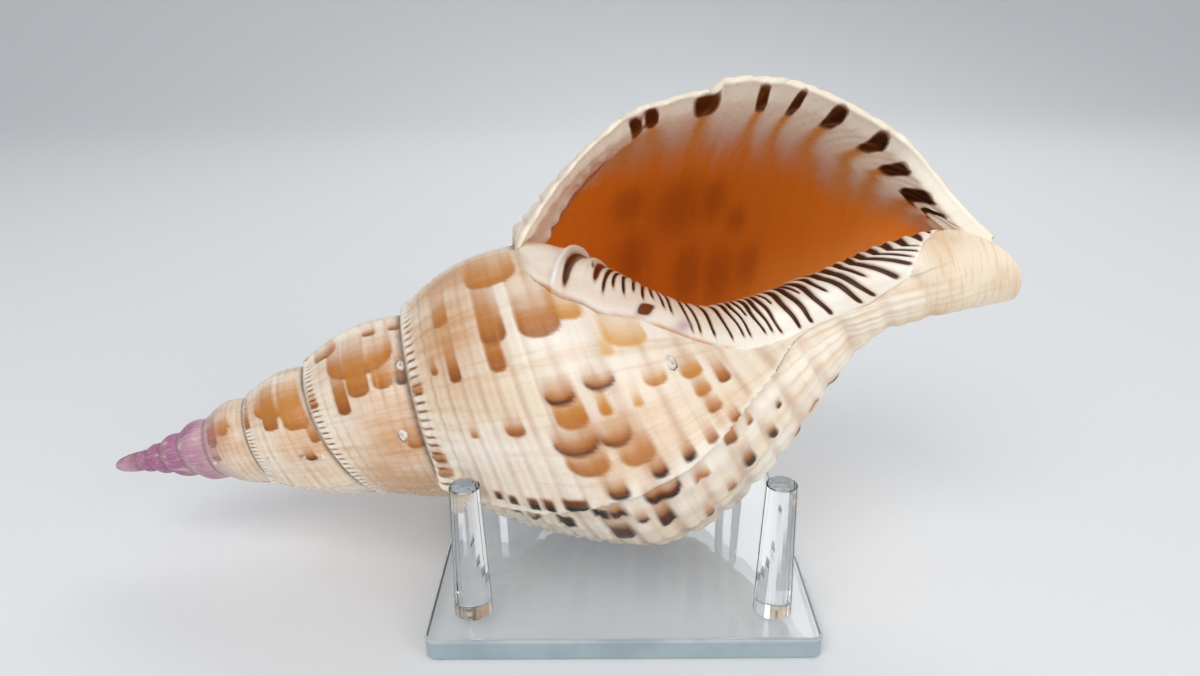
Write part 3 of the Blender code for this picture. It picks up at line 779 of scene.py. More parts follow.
def broad_first(mark):
    """The order of painting: the broad and pale marks lie under the short and dark ones."""
    return mark[3] <= 6, mark[2] < 0.25, mark[4]


def mark_fields(grown, across, marks):
    """How much a mark covers each point, and the mark's darkness and strength there, times the cover."""
    cover = np.zeros(len(grown))
    dark = np.zeros(len(grown))
    tone = np.zeros(len(grown))
    far = span(across)
    for end, middle, half, length, darkness, strength in sorted(marks, key=broad_first):
        low, high = float(span(middle - half)), float(span(middle + half))
        half_span = (high - low) / 2
        off_middle = np.abs(far - (low + high) / 2)
        reached = (grown > end - MARK_TAIL[1] * length - 8) & (grown < end + 6)
        near = reached & (off_middle < half_span + 2)
        square = darkness >= 0.95 and length <= 6
        turn = half_span * (0.25 if square else 0.66)
        power = 3.5 if square else 2.2
        aside = off_middle[near] / half_span
        before = end - grown[near]
        tip = np.clip(1 - before / turn, 0, None)
        edge = 1 - (aside**power + tip**power) ** (1 / power)
        from_end = before - turn * (1 - np.clip(1 - aside**power, 0, 1) ** (1 / power))
        if square:
            strong = strength * ease(1.3 * length, 0.5 * length, from_end)
        else:
            fade = ease(MARK_TAIL[1] * length, MARK_TAIL[0] * length, before)
            strong = strength * np.exp(-np.clip(from_end, 0, None) / length) * fade
        soft = MARK_EDGE / half_span
        share = ease(-soft, soft, edge) * np.clip(1.5 * strong, 0, 1)
        arc = np.exp(-((np.clip(from_end, 0, None) / (0.22 * length + 0.9)) ** 2))
        cover[near] += (1 - cover[near]) * share
        dark[near] += (darkness * (0.8 + 0.45 * arc) - dark[near]) * share
        tone[near] += (strong - tone[near]) * share
    return cover, dark, tone


def widest(humps, count):
    """The strongest of several soft spots at each of a number of points."""
    return np.max([np.zeros(count), *humps], axis=0)


def warm_field(grown, across):
    """Where the ground between the marks turns to a warm tan."""
    return widest([
        strength * hump(grown, middle, long) * hump(across, place_, wide)
        for middle, place_, long, wide, strength in WARM
    ], len(grown))


def lip_fields(grown, share):
    """Dark marks of the lip's face, the rays behind them, and how far inside the mouth a point is."""
    spot = np.full(len(grown), -1.0)
    ray = np.zeros(len(grown))
    for start, end, from_share, to_share, half, ray_end, ray_share in LIP_MARKS:
        part = (start - grown) / (start - end)
        after = np.clip((end - grown) / (end - ray_end), 0, 1)
        middle = from_share + (to_share - from_share) * np.clip(part, -0.3, 1)
        middle = middle + (ray_share - to_share) * after
        aside = np.abs(share - middle) / half
        lengthwise = np.abs(2 * part - 1)
        oval = 0.5 * (aside**2 + lengthwise**2) / 1.3
        spot = np.maximum(spot, 1 - np.maximum(aside, lengthwise) ** 2 * 0.5 - oval)
        ray = np.maximum(ray, hump(aside, 0, 0.9 + 1.6 * after) * ease(0.6, 1.1, part) * (1 - 0.35 * after))
    deep = LIP_ANGLE - grown - read_off(ORANGE_FROM, share)
    dusk = widest([
        np.exp(-((((grown - angle) / long) ** 2 + ((share - place_) / wide) ** 2) ** 1.5))
        for angle, place_, long, wide in DUSK
    ], len(grown))
    teeth = widest([
        hump(grown, angle, 3.6) * hump(share, place_, 0.009)
        for angle, place_ in LIP_TEETH
    ], len(grown))
    return spot, ray, deep, LIP_ANGLE - grown - read_off(FACE_END, share), dusk, teeth


def srgb(*parts):
    """A colour as it looks, turned into the linear one that a material takes."""
    return *(c / 12.92 if c <= 0.04045 else ((c + 0.055) / 1.055) ** 2.4 for c in parts), 1.0


class Value:
    """One output of a node, with the arithmetic of Math nodes."""

    def __init__(self, shader, socket):
        self.shader = shader
        self.socket = socket

    def math(self, operation, *terms):
        return self.shader.node("Math", {"operation": operation}, dict(enumerate(terms)))

    def abs(self):
        return self.math("ABSOLUTE", self)

    def sin(self):
        return self.math("SINE", self)

    def at_most(self, other):
        return self.math("MINIMUM", self, other)

    def at_least(self, other):
        return self.math("MAXIMUM", self, other)

    def smooth(self, low, high, bottom=0.0, top=1.0):
        """bottom at low and top at high, with a soft change between them."""
        values = {"Value": self, "From Min": low, "From Max": high, "To Min": bottom, "To Max": top}
        return self.shader.node("MapRange", {"interpolation_type": "SMOOTHSTEP"}, values, "Result")


for sign, operation in (("add", "ADD"), ("sub", "SUBTRACT"), ("mul", "MULTIPLY"), ("truediv", "DIVIDE")):
    setattr(Value, f"__{sign}__", lambda self, other, kind=operation: self.math(kind, self, other))
    setattr(Value, f"__r{sign}__", lambda self, other, kind=operation: self.math(kind, other, self))


class Shader:
    """A node material."""

    def __init__(self, name):
        self.material = bpy.data.materials.new(name)
        self.material.use_nodes = True
        self.tree = self.material.node_tree
        self.tree.nodes.clear()
        self.place = self.node("TexCoord", None, None, "Object")

    def node(self, kind, settings=None, values=None, output=0):
        made = self.tree.nodes.new("ShaderNode" + kind)
        for key, value in (settings or {}).items():
            setattr(made, key, value)
        for key, value in (values or {}).items():
            socket = made.inputs[key]
            if isinstance(value, Value):
                self.tree.links.new(value.socket, socket)
            else:
                socket.default_value = value
        return Value(self, made.outputs[output]) if len(made.outputs) else made

    def field(self, name):
        return self.node("Attribute", {"attribute_type": "GEOMETRY", "attribute_name": name}, None, "Fac")

    def noise(self, scale, detail, roughness=0.5, vector=None):
        values = {"Vector": vector or self.place, "Scale": scale, "Detail": detail, "Roughness": roughness}
        return self.node("TexNoise", None, values, "Fac")

    def streaks(self, x, y, z=0.0, detail=3.0, roughness=0.5):
        """Noise that is drawn out along the growth lines or the spiral ribs."""
        return self.noise(1.0, detail, roughness, self.node("CombineXYZ", None, {0: x, 1: y, 2: z}))

    def coats(self, colour, *coats):
        """A colour with others laid over it in turn, each by its share."""
        settings = {"data_type": "RGBA", "clamp_factor": True}
        for coat, share in coats:
            colour = self.node("Mix", settings, {0: share, 6: colour, 7: coat}, 2)
        return colour

    def bump(self, height, strength, distance, normal=None):
        values = {"Height": height, "Strength": strength, "Distance": distance}
        return self.node("Bump", None, values | ({"Normal": normal} if normal else {}), "Normal")

    def finish(self, colour, rough, bent=None, second=None, share=None, volume=None, **values):
        """One Principled surface, or two of them mixed by a share. Socket names have _ for each space."""
        values = {key.replace("_", " "): value for key, value in values.items()}
        values |= {"Base Color": colour, "Roughness": rough} | ({"Normal": bent} if bent else {})
        surface = self.node("BsdfPrincipled", None, values)
        if second:
            second = self.node("BsdfPrincipled", None, second)
            surface = self.node("MixShader", None, {0: share, 1: surface, 2: second})
        self.node("OutputMaterial", None, {"Surface": surface} | ({"Volume": volume} if volume else {}))
        return self.material


CREAM = srgb(0.95, 0.88, 0.78)
IVORY = srgb(0.97, 0.93, 0.87)
TAN = srgb(0.83, 0.64, 0.44)
WARM_TAN = srgb(0.82, 0.60, 0.39)
# Tan of the painted shade in the rib grooves.
GROOVE_SHADE_TAN = srgb(0.78, 0.62, 0.50)
GOLD = srgb(0.86, 0.63, 0.29)
ORANGE_BROWN = srgb(0.74, 0.46, 0.19)
RAY_GOLD = srgb(0.86, 0.56, 0.22)
DARK_BROWN = srgb(0.44, 0.20, 0.04)
BLACK_BROWN = srgb(0.13, 0.08, 0.05)
MAUVE = srgb(0.64, 0.40, 0.54)
PALE_MAUVE = srgb(0.86, 0.74, 0.74)
MAUVE_GREY = srgb(0.76, 0.66, 0.66)
# Brown for grime specks, and for the painted shade behind the last varix and the darker sutures.
GRIME_AND_SHADE = srgb(0.33, 0.22, 0.13)
BEAD_GAP_BROWN = srgb(0.58, 0.39, 0.23)
BEHIND_TAN = srgb(0.80, 0.66, 0.50)
MOUTH_ORANGE = srgb(0.95, 0.53, 0.15)
MOUTH_LIGHT = srgb(1.0, 0.67, 0.28)
MOUTH_DUSK = srgb(0.66, 0.30, 0.10)
LIP_WHITE = srgb(1.0, 0.97, 0.90)
LIP_PINK = srgb(0.86, 0.72, 0.64)


def outside_finish():
    shell = Shader("shell_outside")
    grown, across, newer, scoop, apex = map(shell.field, ("grown", "across", "newer", "scoop", "apex"))
    lines = shell.streaks(grown * 26.0, across * 1.3, 0.0, 4.0, 0.6)
    broad = shell.streaks(grown * 5.0, across * 1.6, 3.0)
    spiral = shell.streaks(grown * 0.9, across * 22.0, 7.0, 3.0, 0.6)
    rings = shell.streaks(shell.field("rim_away") * 900.0, grown * 2.0, 0.0, 2.0)
    fine = shell.noise(420.0, 4.0, 0.6)
    cloud = shell.noise(60.0, 3.0)
    patches = broad.smooth(0.35, 0.65)
    cord_share = shell.field("bead_cord")
    gap = (grown * (100 * math.pi / BEAD_SPACING)).sin().abs().smooth(0.12, 0.6, 1.0, 0.0) * cord_share
    ground = shell.coats(
        IVORY,
        (CREAM, patches),
        (TAN, lines.smooth(0.48, 0.75) * 0.4 + cloud.smooth(0.5, 0.75) * 0.3),
        (WARM_TAN, shell.field("warm") * (0.65 + lines.smooth(0.3, 0.7) * 0.35)),
        (MAUVE_GREY, spiral.smooth(0.55, 0.75) * 0.3),
        # Painted shade in the narrow grooves between the spiral ribs.
        (GROOVE_SHADE_TAN, shell.field("groove") * (0.25 + patches * 0.4)),
        (IVORY, (cord_share - gap) * 0.8),
        (IVORY, shell.field("varix_edge") * 0.8),
    )
    cover = shell.field("mark_cover")
    dark = shell.field("mark_dark") / cover.at_least(0.02) + newer * 0.22
    tone = shell.field("mark_tone") / cover.at_least(0.02)
    mark = shell.coats(
        GOLD,
        (ORANGE_BROWN, (dark * 2.6).at_most(1.0)),
        (DARK_BROWN, (dark * 1.9 - 0.65).at_least(0.0) * tone.smooth(0.25, 0.8)),
        (BLACK_BROWN, ((dark - 0.8).at_least(0.0) * 5.0).at_most(1.0) * tone.smooth(0.35, 0.95)),
    )
    ragged = (fine - 0.5) * 0.16 + (lines - 0.5) * 0.12
    cover = (cover + ragged).smooth(0.05, 0.95) * (1.0 - (lines - 0.5).abs() * 0.5) * (0.9 + cloud * 0.2)
    scooped = shell.coats(
        CREAM,
        (TAN, cloud.smooth(0.4, 0.7) * 0.5),
        (WARM_TAN, rings.smooth(0.45, 0.75) * 0.35),
    )
    worn_share = lines.smooth(0.45, 0.7) * 0.4 + cloud.smooth(0.45, 0.7) * 0.5
    worn = shell.coats(MAUVE, (PALE_MAUVE, worn_share), (CREAM, broad.smooth(0.55, 0.7) * 0.4))
    # Darker along the sutures, with painted shade in a thin line just behind the crest of the last varix.
    darkening = shell.field("suture_dark_and_varix_shade") * (0.4 + fine * 0.9) * (1.0 - apex * 0.6)
    colour = shell.coats(
        ground, (mark, cover), (scooped, scoop), (worn, apex), (GRIME_AND_SHADE, darkening),
        (BEAD_GAP_BROWN, gap * (1.0 - apex) * 0.8), (GRIME_AND_SHADE, fine.smooth(0.69, 0.78) * 0.35),
    )
    height = lines * 0.5 + spiral * 0.35 + fine * 0.25 + rings * scoop * 0.6 - gap * 1.8
    pitted = shell.bump(shell.noise(1500.0, 2.0), 0.12, 0.0001, shell.bump(height, 0.5, 0.0004))
    rough = (0.24 + (fine - 0.4) * 0.25 + darkening * 0.5 + apex * 0.2 + newer * 0.08).at_least(0.12).at_most(0.9)
    return shell.finish(colour, rough, pitted, Specular_IOR_Level=0.32, Coat_Weight=0.06, Coat_Roughness=0.15)


def mouth_finish():
    shell = Shader("shell_mouth")
    cloud = shell.noise(45.0, 3.0)
    fine = shell.noise(500.0, 4.0, 0.6)
    streak = shell.streaks(shell.field("grown") * 2.0, shell.field("across") * 45.0)
    deep, soft, rim, teeth_gap = map(shell.field, ("mouth_deep", "mouth_soft", "rim", "teeth_gap"))
    edge = deep + (cloud - 0.5) * 14.0 * soft + (streak - 0.5) * 16.0 * soft
    sharp = edge.smooth(-0.6, 0.6)
    orange_share = sharp + (edge.smooth(-22.0, 6.0) - sharp) * soft
    # Darker brown in the gaps between the lip's teeth, at the inner edge of its face.
    teeth_gap_dark = (teeth_gap + (cloud - 0.5) * 0.8).smooth(0.35, 0.75)
    face = shell.coats(
        LIP_WHITE,
        (LIP_PINK, deep.smooth(-40.0, -8.0) * soft),
        (BEHIND_TAN, shell.field("face_behind") * 0.75),
        (CREAM, rim.smooth(0.15, 0.9)),
        (TAN, fine.smooth(0.55, 0.8) * 0.25),
        (RAY_GOLD, shell.field("lip_ray")),
        (DARK_BROWN, teeth_gap_dark * teeth_gap.smooth(0.1, 0.4) * 0.75),
    )
    orange = shell.coats(
        MOUTH_ORANGE,
        (MOUTH_LIGHT, shell.field("mouth_light") * 0.85 + (cloud - 0.5) * 0.3),
        (MOUTH_DUSK, shell.field("dusk") * 0.5 + (streak - 0.45).at_least(0.0) * 0.3),
    )
    spot = shell.field("lip_mark") + (fine - 0.5) * 0.22
    dark = (DARK_BROWN, spot.smooth(-0.28, 0.12) * 0.75), (BLACK_BROWN, spot.smooth(0.05, 0.38))
    colour = shell.coats(face, (orange, orange_share), *dark)
    bent = shell.bump(fine * 0.1 + cloud + streak * 0.3, 0.14, 0.0004)
    rough = 0.22 + fine * 0.14 + rim * 0.15
    return shell.finish(colour, rough, bent, Specular_IOR_Level=0.35, Coat_Weight=0.12, Coat_Roughness=0.12)


def callus_finish():
    shell = Shader("shell_callus")
    cloud = shell.noise(70.0, 3.0)
    fine = shell.noise(600.0, 3.0, 0.6)
    groove = shell.field("fold_groove") + (fine - 0.5) * 0.16
    colour = shell.coats(
        srgb(0.99, 0.97, 0.92),
        (srgb(0.97, 0.92, 0.85), cloud.smooth(0.4, 0.7)),
        (LIP_PINK, shell.field("callus_tint") * 0.4),
        (srgb(0.99, 0.97, 0.94), shell.field("callus_tooth")),
        (srgb(0.74, 0.50, 0.28), groove.smooth(-0.15, 0.45) * 0.6),
        (srgb(0.25, 0.12, 0.05), groove.smooth(0.15, 0.62)),
        # Painted shadow: a dark violet-brown line along the lifted edge of the callus near the tooth.
        (srgb(0.46, 0.32, 0.32), shell.field("callus_edge") * 0.8),
        (MAUVE_GREY, shell.field("callus_stain") * (0.4 + cloud * 0.9)),
        (DARK_BROWN, (shell.field("callus_blot") + (cloud - 0.5) * 0.9).smooth(0.35, 0.7)),
        (ORANGE_BROWN, shell.field("callus_rim") * cloud.smooth(0.35, 0.6) * 0.8),
        (MOUTH_ORANGE, shell.field("callus_deep")),
    )
    bent = shell.bump(cloud + fine * 0.25, 0.2, 0.0004)
    rough = 0.16 + fine * 0.14
    return shell.finish(colour, rough, bent, Specular_IOR_Level=0.4, Coat_Weight=0.12, Coat_Roughness=0.1)


PLATE_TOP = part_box("stand_plate")[1][2]


def acrylic_finish(name, edge_glow_share):
    """Clear acrylic. On the plate the cut edges get painted light: a pale coated surface is mixed in there,
    brightest in a band just below the top as a painted highlight.
    """
    clear = Shader(name)
    smear = clear.noise(55.0, 3.0, 0.55)
    rough = 0.012 + smear.smooth(0.52, 0.8) * 0.05 + clear.noise(900.0, 2.0).smooth(0.66, 0.8) * 0.06
    tint = {"Color": (0.72, 0.90, 1.0, 1.0), "Density": 4.0}
    values = {
        "colour": (0.985, 0.995, 1.0, 1.0),
        "rough": rough,
        "bent": clear.bump(clear.noise(130.0, 2.0), 0.04, 0.0002),
        "volume": clear.node("VolumeAbsorption", None, tint, "Volume"),
        "IOR": 1.49,
        "Transmission_Weight": 1.0,
    }
    if not edge_glow_share:
        return clear.finish(**values)
    upright = clear.node("SeparateXYZ", None, {0: clear.node("NewGeometry", None, None, "Normal")}, 2)
    height = clear.node("SeparateXYZ", None, {0: clear.place}, 2)
    # Painted light on the cut edges, brighter just below the top as a painted highlight.
    edge_glow_colour = clear.coats(
        srgb(0.80, 0.87, 0.90),
        (srgb(0.97, 0.99, 1.0), height.smooth(PLATE_TOP - 2.0 * MM, PLATE_TOP - 0.8 * MM)),
        (srgb(0.66, 0.76, 0.81), smear.smooth(0.4, 0.7) * 0.5),
    )
    second = {
        "Base Color": edge_glow_colour,
        "Roughness": 0.18 + smear * 0.1,
        "Coat Weight": 0.5,
        "Coat Roughness": 0.05,
    }
    return clear.finish(second=second, share=(1.0 - upright.abs()).smooth(0.15, 0.8) * edge_glow_share, **values)


def add_piece(name, points, faces, *finishes):
    """A smooth mesh object of the points that its faces use, and the numbers of those points."""
    used = np.unique([k for face in faces for k in face])
    index = np.zeros(len(points), int)
    index[used] = range(len(used))
    mesh = bpy.data.meshes.new(name)
    mesh.from_pydata(np.array(points)[used].tolist(), [], [index[list(face)].tolist() for face in faces])
    for finish in finishes:
        mesh.materials.append(finish)
    mesh.shade_smooth()
    made = bpy.data.objects.new(name, mesh)
    bpy.context.scene.collection.objects.link(made)
    return made, used


def add_fields(made, domain, fields, order):
    """Values for the shaders, at the points or the corners of a mesh."""
    for name, values in fields.items():
        field = made.data.attributes.new(name, "FLOAT", domain)
        field.data.foreach_set("value", np.asarray(values, np.float32)[order])


def add_shell():
    skin = shell_skin()
    low, high = np.array(cad_box[0]), np.array(cad_box[1])
    points = np.clip(np.array(skin.points), low + 0.02 * MM, high - 0.02 * MM)
    first = np.array(skin.first)
    faces = [first[face] for face in skin.faces]
    made, _ = add_piece("triton_shell", points, faces, outside_finish(), mouth_finish())
    side, grown, across, along = np.array(skin.values, float).T
    outside = side == OUTSIDE
    face = side == FACE
    here = np.where(outside, grown, 1e4)
    cover, dark, tone = mark_fields(here, across, [*MARKS, *more_marks()])
    spot, ray, deep, face_edge, dusk, teeth = lip_fields(grown, across)
    wall = face | (side == RIM)
    part = np.where(across <= 1, across, across - 1)
    last_rows = outside & (grown > LIP_ANGLE - 360)
    # Darker along the sutures, except on the lower half of the last whorl.
    darkening = (hump(part, 0, 0.022) + hump(part, 1, 0.03)) * (across <= 1) * ~(last_rows & (part > 0.5))
    varix_angle = read_off(LAST_VARIX, across)
    # Painted shade: a thin dark line just behind the crest of the last varix, where the newer shell lies
    # lower.
    varix_shade_line = hump(grown, varix_angle + 1.9, 0.8) * ease(1.7, 1.55, across) * last_rows
    teeth_place = ease(0.24, 0.17, across) * ease(0.04, 0.08, across)
    elsewhere = np.where(side == CHANNEL, LIP_ANGLE - grown - 45, 40.0)
    fields = {
        "grown": grown / 100,
        "across": across,
        "groove": np.clip(rib_groove(across), 0, 1) * outside,
        "newer": ease(varix_angle, varix_angle + 3, grown) * outside,
        "mark_cover": cover,
        "mark_dark": dark,
        "mark_tone": tone,
        "warm": warm_field(here, across),
        "varix_edge": hump(grown, varix_angle - 0.6, 1.5) * last_rows,
        "bead_cord": cord(across) * outside * (grown < -45) * (grown > -1500),
        "scoop": ease(272 * MM, 284 * MM, along) * outside,
        "rim_away": np.maximum(CANAL_TIP - along, 0),
        "apex": ease(52 * MM, 32 * MM, along) * outside,
        "suture_dark_and_varix_shade": np.clip(darkening * outside * 0.8 + varix_shade_line * 0.5, 0, 1),
        "mouth_deep": np.where(wall, deep, np.where(outside, -30.0, elsewhere)),
        "mouth_soft": np.where(wall, ease(0.10, 0.22, across), 1.0),
        "lip_mark": np.where(wall, spot, -1.0),
        "lip_ray": ray * face,
        "teeth_gap": hump(face_edge, -2, 4) * teeth_place * (1 - teeth) * face,
        "face_behind": ease(-1, 3, face_edge) * ease(0.31, 0.24, across) * face,
        "dusk": dusk * face,
        "mouth_light": np.where(face, ease(-70, -110, grown) * ease(0.5, 0.7, across), 0.4),
        "rim": np.where(side == RIM, ease(LIP_ANGLE, LIP_ANGLE + RIM_SPAN, grown), outside),
    }
    add_fields(made, "CORNER", fields, np.concatenate(skin.faces))
    made.data.polygons.foreach_set("material_index", np.array(skin.finishes, np.int32))
    face_out(made.data)
    made.data.set_sharp_from_angle(angle=math.radians(62))
    return made


def face_out(mesh):
    """Turns all faces outward, keeping the order of the corner values."""
    shape = bmesh.new()
    shape.from_mesh(mesh)
    bmesh.ops.recalc_face_normals(shape, faces=shape.faces)
    if shape.calc_volume(signed=True) < 0:
        bmesh.ops.reverse_faces(shape, faces=shape.faces)
    shape.to_mesh(mesh)
    shape.free()


def fold_place(phi, along):
    """Where a fold through this place of the columella stands 20 degrees below the mouth's edge, in mm."""
    middle, slant = np.array(FOLD_SLANT, float).T
    if phi < 20:
        slant = np.clip(slant, -0.2, 0.12)
    return np.interp(along / MM, middle + slant * (phi - 20), middle)


def callus_grooves(phi, along):
    """How deep in a groove between folds each place is, 0 to 1."""
    start = fold_place(phi, along)
    depth = np.zeros(np.shape(start))
    for number, (middle, end, half) in enumerate(GROOVES):
        wander = 0.22 * np.sin(phi / 9.0 + 1.7 * number)
        fade = ease(end + 3, end - 8, phi) * ease(-80, -70, phi)
        here = max(0.36, half * (0.6 + 0.8 * ease(end, min(0, end - 30), phi)))
        depth = np.maximum(depth, hump(start, middle - wander, here) * fade)
    return depth


def tooth(phi, along, middle, end, half, height):
    """Height of a tooth, in mm."""
    ends = ease(end + 3, end - 14, phi) * ease(-30, -8, phi)
    return height * hump(fold_place(phi, along), middle, half, 2.4) * ends


def add_callus():
    """The white glaze over the columella, with its folds and the tooth at its upper end."""
    points, rows = [], []
    for phi in np.linspace(CALLUS_FROM, CALLUS_TO, CALLUS_ROWS + 1):
        curve = base_curve(phi - 360, CANAL_TIP)
        along = np.linspace(curve[0, 0], CALLUS_END, CALLUS_COLUMNS + 1)
        line = np.column_stack((along, np.interp(along, *curve.T)))
        if phi < LIP_ANGLE:
            line, angles = pillar_shape(phi, line)
        else:
            angles = turn_at_tip(phi - 360, line)
        far = along / MM
        field = callus_field(phi - 360, along)
        groove = callus_grooves(phi, along)
        folded = ease(171, 174, far) * ease(2, 14, field)
        ridge = tooth(phi, along, *TOOTH)
        started = ease(CALLUS_FROM, CALLUS_FROM + 12, phi)
        thick = CALLUS_THICKNESS * ease(-1.5, 5, field) - CALLUS_SUNK * (1 - ease(-1.5, 5, field))
        thick = thick + FOLD_HEIGHT * folded * (1 - groove) - GROOVE_DEPTH * groove * folded
        thick = thick + ridge + tooth(phi, along, *SECOND_TOOTH)
        thick = thick * started - 0.6 * (1 - started)
        ends = ease(0, 3, far - far[0]) * ease(0, 4, far[-1] - far)
        thick = thick * ends - 0.5 * (1 - ends)
        points.extend(place(line + normals(line) * thick[:, None] * MM, angles))
        blot = hump(far, 194.3 - 0.25 * (phi - 43), 2.0, 3.5) * hump(phi, 43, 4.2, 3.5)
        stain = hump(far, 204 - 0.2 * (phi - 52), 2.4) * hump(phi, 52, 5)
        window = hump(far, 181.2, 0.9) * hump(phi, 16, 9)
        rows.append((
            field, groove * folded, ease(0.1, 1.2, ridge), np.maximum(blot, window * 0.6),
            np.maximum(stain, ease(0.02, 0.3, blot) * 0.8),
            # Painted shadow along the lifted edge of the callus near the tooth.
            hump(field, 1.2, 1.4) * ease(190, 180, far) * ease(10, 20, phi),
            hump(field, 2.0, 1.6), hump(field, 9, 6) * ease(200, 185, far),
            np.full(len(far), ease(-66, -80, phi)),
        ))
    data = np.array(rows)
    inner = np.minimum(data[:-1, 0, :-1], data[1:, 0, 1:]) > -3
    start = (np.arange(CALLUS_ROWS)[:, None] * (CALLUS_COLUMNS + 1) + np.arange(CALLUS_COLUMNS))[inner]
    faces = start[:, None] + np.array((0, 1, CALLUS_COLUMNS + 2, CALLUS_COLUMNS + 1))
    made, used = add_piece("columella_callus", points, faces, callus_finish())
    names = ["fold_groove"]
    names += ["callus_" + name for name in ("tooth", "blot", "stain", "edge", "rim", "tint", "deep")]
    add_fields(made, "POINT", {name: data[:, k + 1].ravel() for k, name in enumerate(names)}, used)
    return made


def crust_finish():
    lime = Shader("crust_lime")
    fine = lime.noise(1500.0, 3.0, 0.6)
    cloud = lime.noise(600.0, 2.0)
    colour = lime.coats(
        srgb(0.95, 0.91, 0.86),
        (srgb(0.80, 0.76, 0.73), cloud.smooth(0.4, 0.65)),
        (srgb(0.50, 0.42, 0.36), lime.field("crust_pit") * (0.2 + fine * 0.7)),
        # Brown rim: partly the crust's own brown halo, partly painted shade on one side.
        (srgb(0.30, 0.16, 0.08), lime.field("crust_rim_brown_shade") * (0.7 + fine * 0.6)),
    )
    bent = lime.bump(fine + cloud, 0.5, 0.0003)
    return lime.finish(colour, 0.62 + fine * 0.25, bent, Specular_IOR_Level=0.3)


def add_crusts():
    """Small limy crusts on the outside, each a low uneven ring round a pitted middle."""
    points, faces, pits, rims = [], [], [], []
    turns = np.radians(np.arange(CRUST_SIDES) * 360 / CRUST_SIDES)
    reach, height = np.array(CRUST_PROFILE).T[:, :, None]
    buried = len(CRUST_PROFILE) - 2
    for number, (theta, place_, half, brown, brown_shade_side) in enumerate(CRUSTS):
        on_last = theta > LIP_ANGLE - 360
        row, across, _ = outer_row(theta, CRUST_COLUMNS, on_last)
        later_row = outer_row(theta + 1, CRUST_COLUMNS, on_last)[0]
        k = int(np.argmin(np.abs(across - place_)))
        down = (row[k + 2] - row[k - 2]) / np.linalg.norm(row[k + 2] - row[k - 2])
        onward = later_row[k] - row[k]
        onward = onward - down * (onward @ down)
        onward = onward / np.linalg.norm(onward)
        out = np.cross(onward, down)
        out = out * np.sign(out @ (row[k] - APEX - AXIS * ((row[k] - APEX) @ AXIS)))
        wide = 1 + 0.10 * np.sin(2 * turns + number) + 0.05 * np.sin(7 * turns + number)
        wide = wide + 0.09 * np.sin(3 * turns + 2.3 * number)
        lumpy = 0.75 + 0.35 * np.sin(turns + 1.3 * number) + 0.15 * np.sin(4 * turns + number)
        lift = np.where(height > 0, height * lumpy, height) * min(1, half)
        x, y = half * wide * reach * np.cos(turns), 0.85 * half * wide * reach * np.sin(turns)
        base = len(points) + np.arange(len(CRUST_PROFILE) * CRUST_SIDES).reshape(-1, CRUST_SIDES)
        ways = np.multiply.outer(x, onward) + np.multiply.outer(y, down) + np.multiply.outer(lift, out)
        points.extend((row[k] + ways * MM).reshape(-1, 3))
        pits.extend((hump(reach, 0, 0.28) * (reach < 0.6) * np.ones(CRUST_SIDES)).ravel())
        # The rim is browner towards one side, partly painted shade.
        facing = (0.5 + 0.5 * np.cos(turns - math.radians(brown_shade_side))) ** 1.5
        under = np.arange(len(reach))[:, None] >= buried
        rims.extend((brown * np.where(under, 1, facing * ease(0.45, 0.85, reach))).ravel())
        after = np.roll(base, -1, axis=1)
        faces.extend((base[0, 0], two, one) for one, two in zip(base[1], after[1]))
        for level in range(1, len(base) - 1):
            faces.extend(zip(base[level], after[level], after[level + 1], base[level + 1]))
        faces.append(base[-1])
    made, used = add_piece("lime_crusts", points, faces, crust_finish())
    add_fields(made, "POINT", {"crust_pit": pits, "crust_rim_brown_shade": rims}, used)
    face_out(made.data)
    return made


def add_sweep():
    """A pale floor that curves up into a backdrop."""
    turns = np.radians(np.linspace(0, 90, 13))
    profile = [(-1.6, 0.0), *zip(1.0 + 0.8 * np.sin(turns), 0.8 - 0.8 * np.cos(turns)), (1.8, 3.0)]
    points = [(x, y, z - 0.0003) for y, z in profile for x in (-3.0, 3.0)]
    faces = [(2 * k, 2 * k + 1, 2 * k + 3, 2 * k + 2) for k in range(len(profile) - 1)]
    paper = Shader("sweep_paper")
    colour = paper.coats((0.78, 0.79, 0.80, 1.0), ((0.80, 0.81, 0.82, 1.0), paper.noise(300.0, 3.0)))
    through = paper.node("LightPath", None, None, "Is Transmission Ray")
    glow = paper.coats((0.0, 0.0, 0.0, 1.0), ((0.17, 0.18, 0.19, 1.0), through))
    finish = paper.finish(colour, 0.7, Specular_IOR_Level=0.2, Emission_Color=glow, Emission_Strength=1.0)
    add_piece("studio_sweep", points, faces, finish)[0]


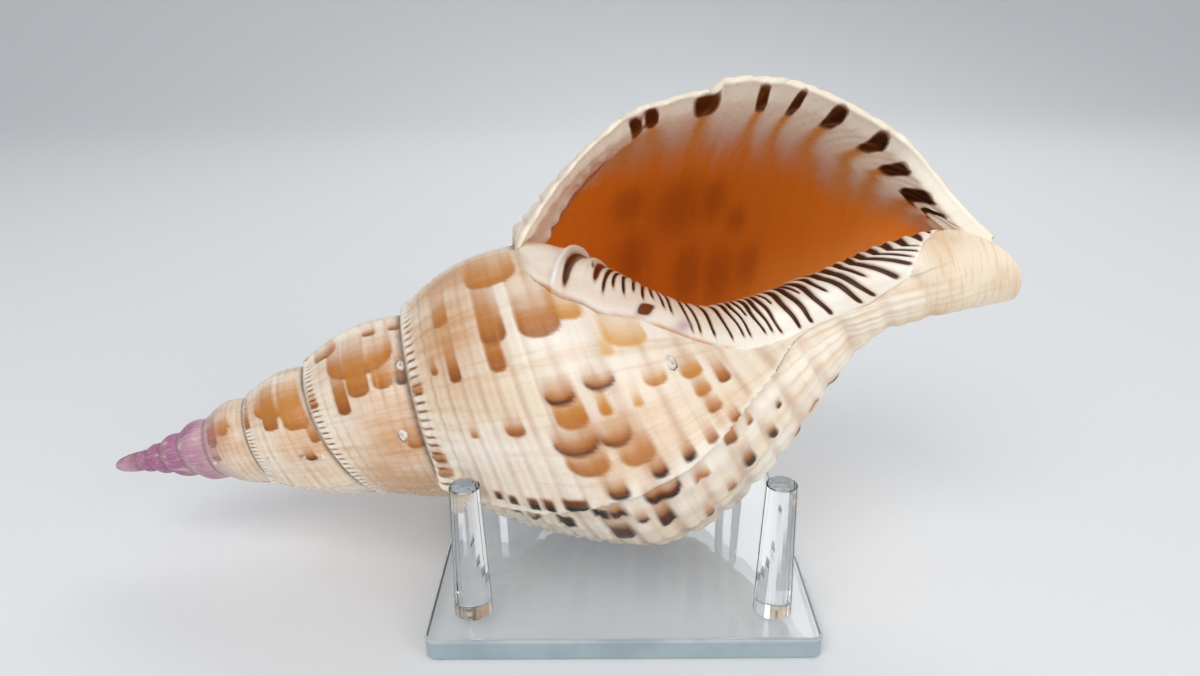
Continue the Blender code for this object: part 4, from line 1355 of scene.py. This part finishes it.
def add_lamp(name, place_, size, power, colour=(1.0, 1.0, 1.0)):
    lamp = bpy.data.lights.new(name, "AREA")
    lamp.shape = "DISK"
    lamp.size = size
    lamp.energy = power
    lamp.color = colour
    made = bpy.data.objects.new(name, lamp)
    made.location = place_
    made.rotation_euler = (Vector((0, 0, 0.08)) - Vector(place_)).to_track_quat("-Z", "Y").to_euler()
    bpy.context.scene.collection.objects.link(made)


def add_light():
    world = bpy.data.worlds.new("studio")
    world.use_nodes = True
    background = world.node_tree.nodes["Background"]
    background.inputs["Color"].default_value = (0.93, 0.96, 1.0, 1.0)
    background.inputs["Strength"].default_value = 0.5
    bpy.context.scene.world = world
    add_lamp("key_lamp", (-0.35, -0.65, 0.95), 0.8, 5.0)
    add_lamp("fill_lamp", (0.75, -0.8, 0.5), 0.9, 4.4)
    add_lamp("back_lamp", (0.2, 0.9, 0.9), 0.8, 4.0)


def add_camera():
    camera = bpy.data.cameras.new("camera")
    camera.sensor_width = 36
    camera.lens = 25.98
    camera.clip_start = 0.01
    made = bpy.data.objects.new("camera", camera)
    yaw, pitch, roll = (math.radians(angle) for angle in (-0.35, 22.37, -0.53))
    ahead = Vector((math.sin(yaw) * math.cos(pitch), math.cos(yaw) * math.cos(pitch), -math.sin(pitch)))
    turned = ahead.to_track_quat("-Z", "Y").to_matrix().to_4x4() @ Matrix.Rotation(roll, 4, "Z")
    made.rotation_euler = turned.to_euler()
    made.location = (-0.0050, -0.2646, 0.1890)
    bpy.context.scene.collection.objects.link(made)
    bpy.context.scene.camera = made


shell = add_shell()
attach(shell, "root")
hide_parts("shell")
callus = add_callus()
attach(callus, "root")
crusts = add_crusts()
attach(crusts, "root")

clear_peg = acrylic_finish("clear_acrylic_peg", 0.0)
clear_plate = acrylic_finish("clear_acrylic_plate", 0.6)
for name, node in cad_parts.items():
    if name != "shell":
        for slot in node.material_slots:
            slot.material = clear_plate if name == "stand_plate" else clear_peg

add_sweep()
add_light()
add_camera()
bpy.context.scene.view_settings.view_transform = "Standard"
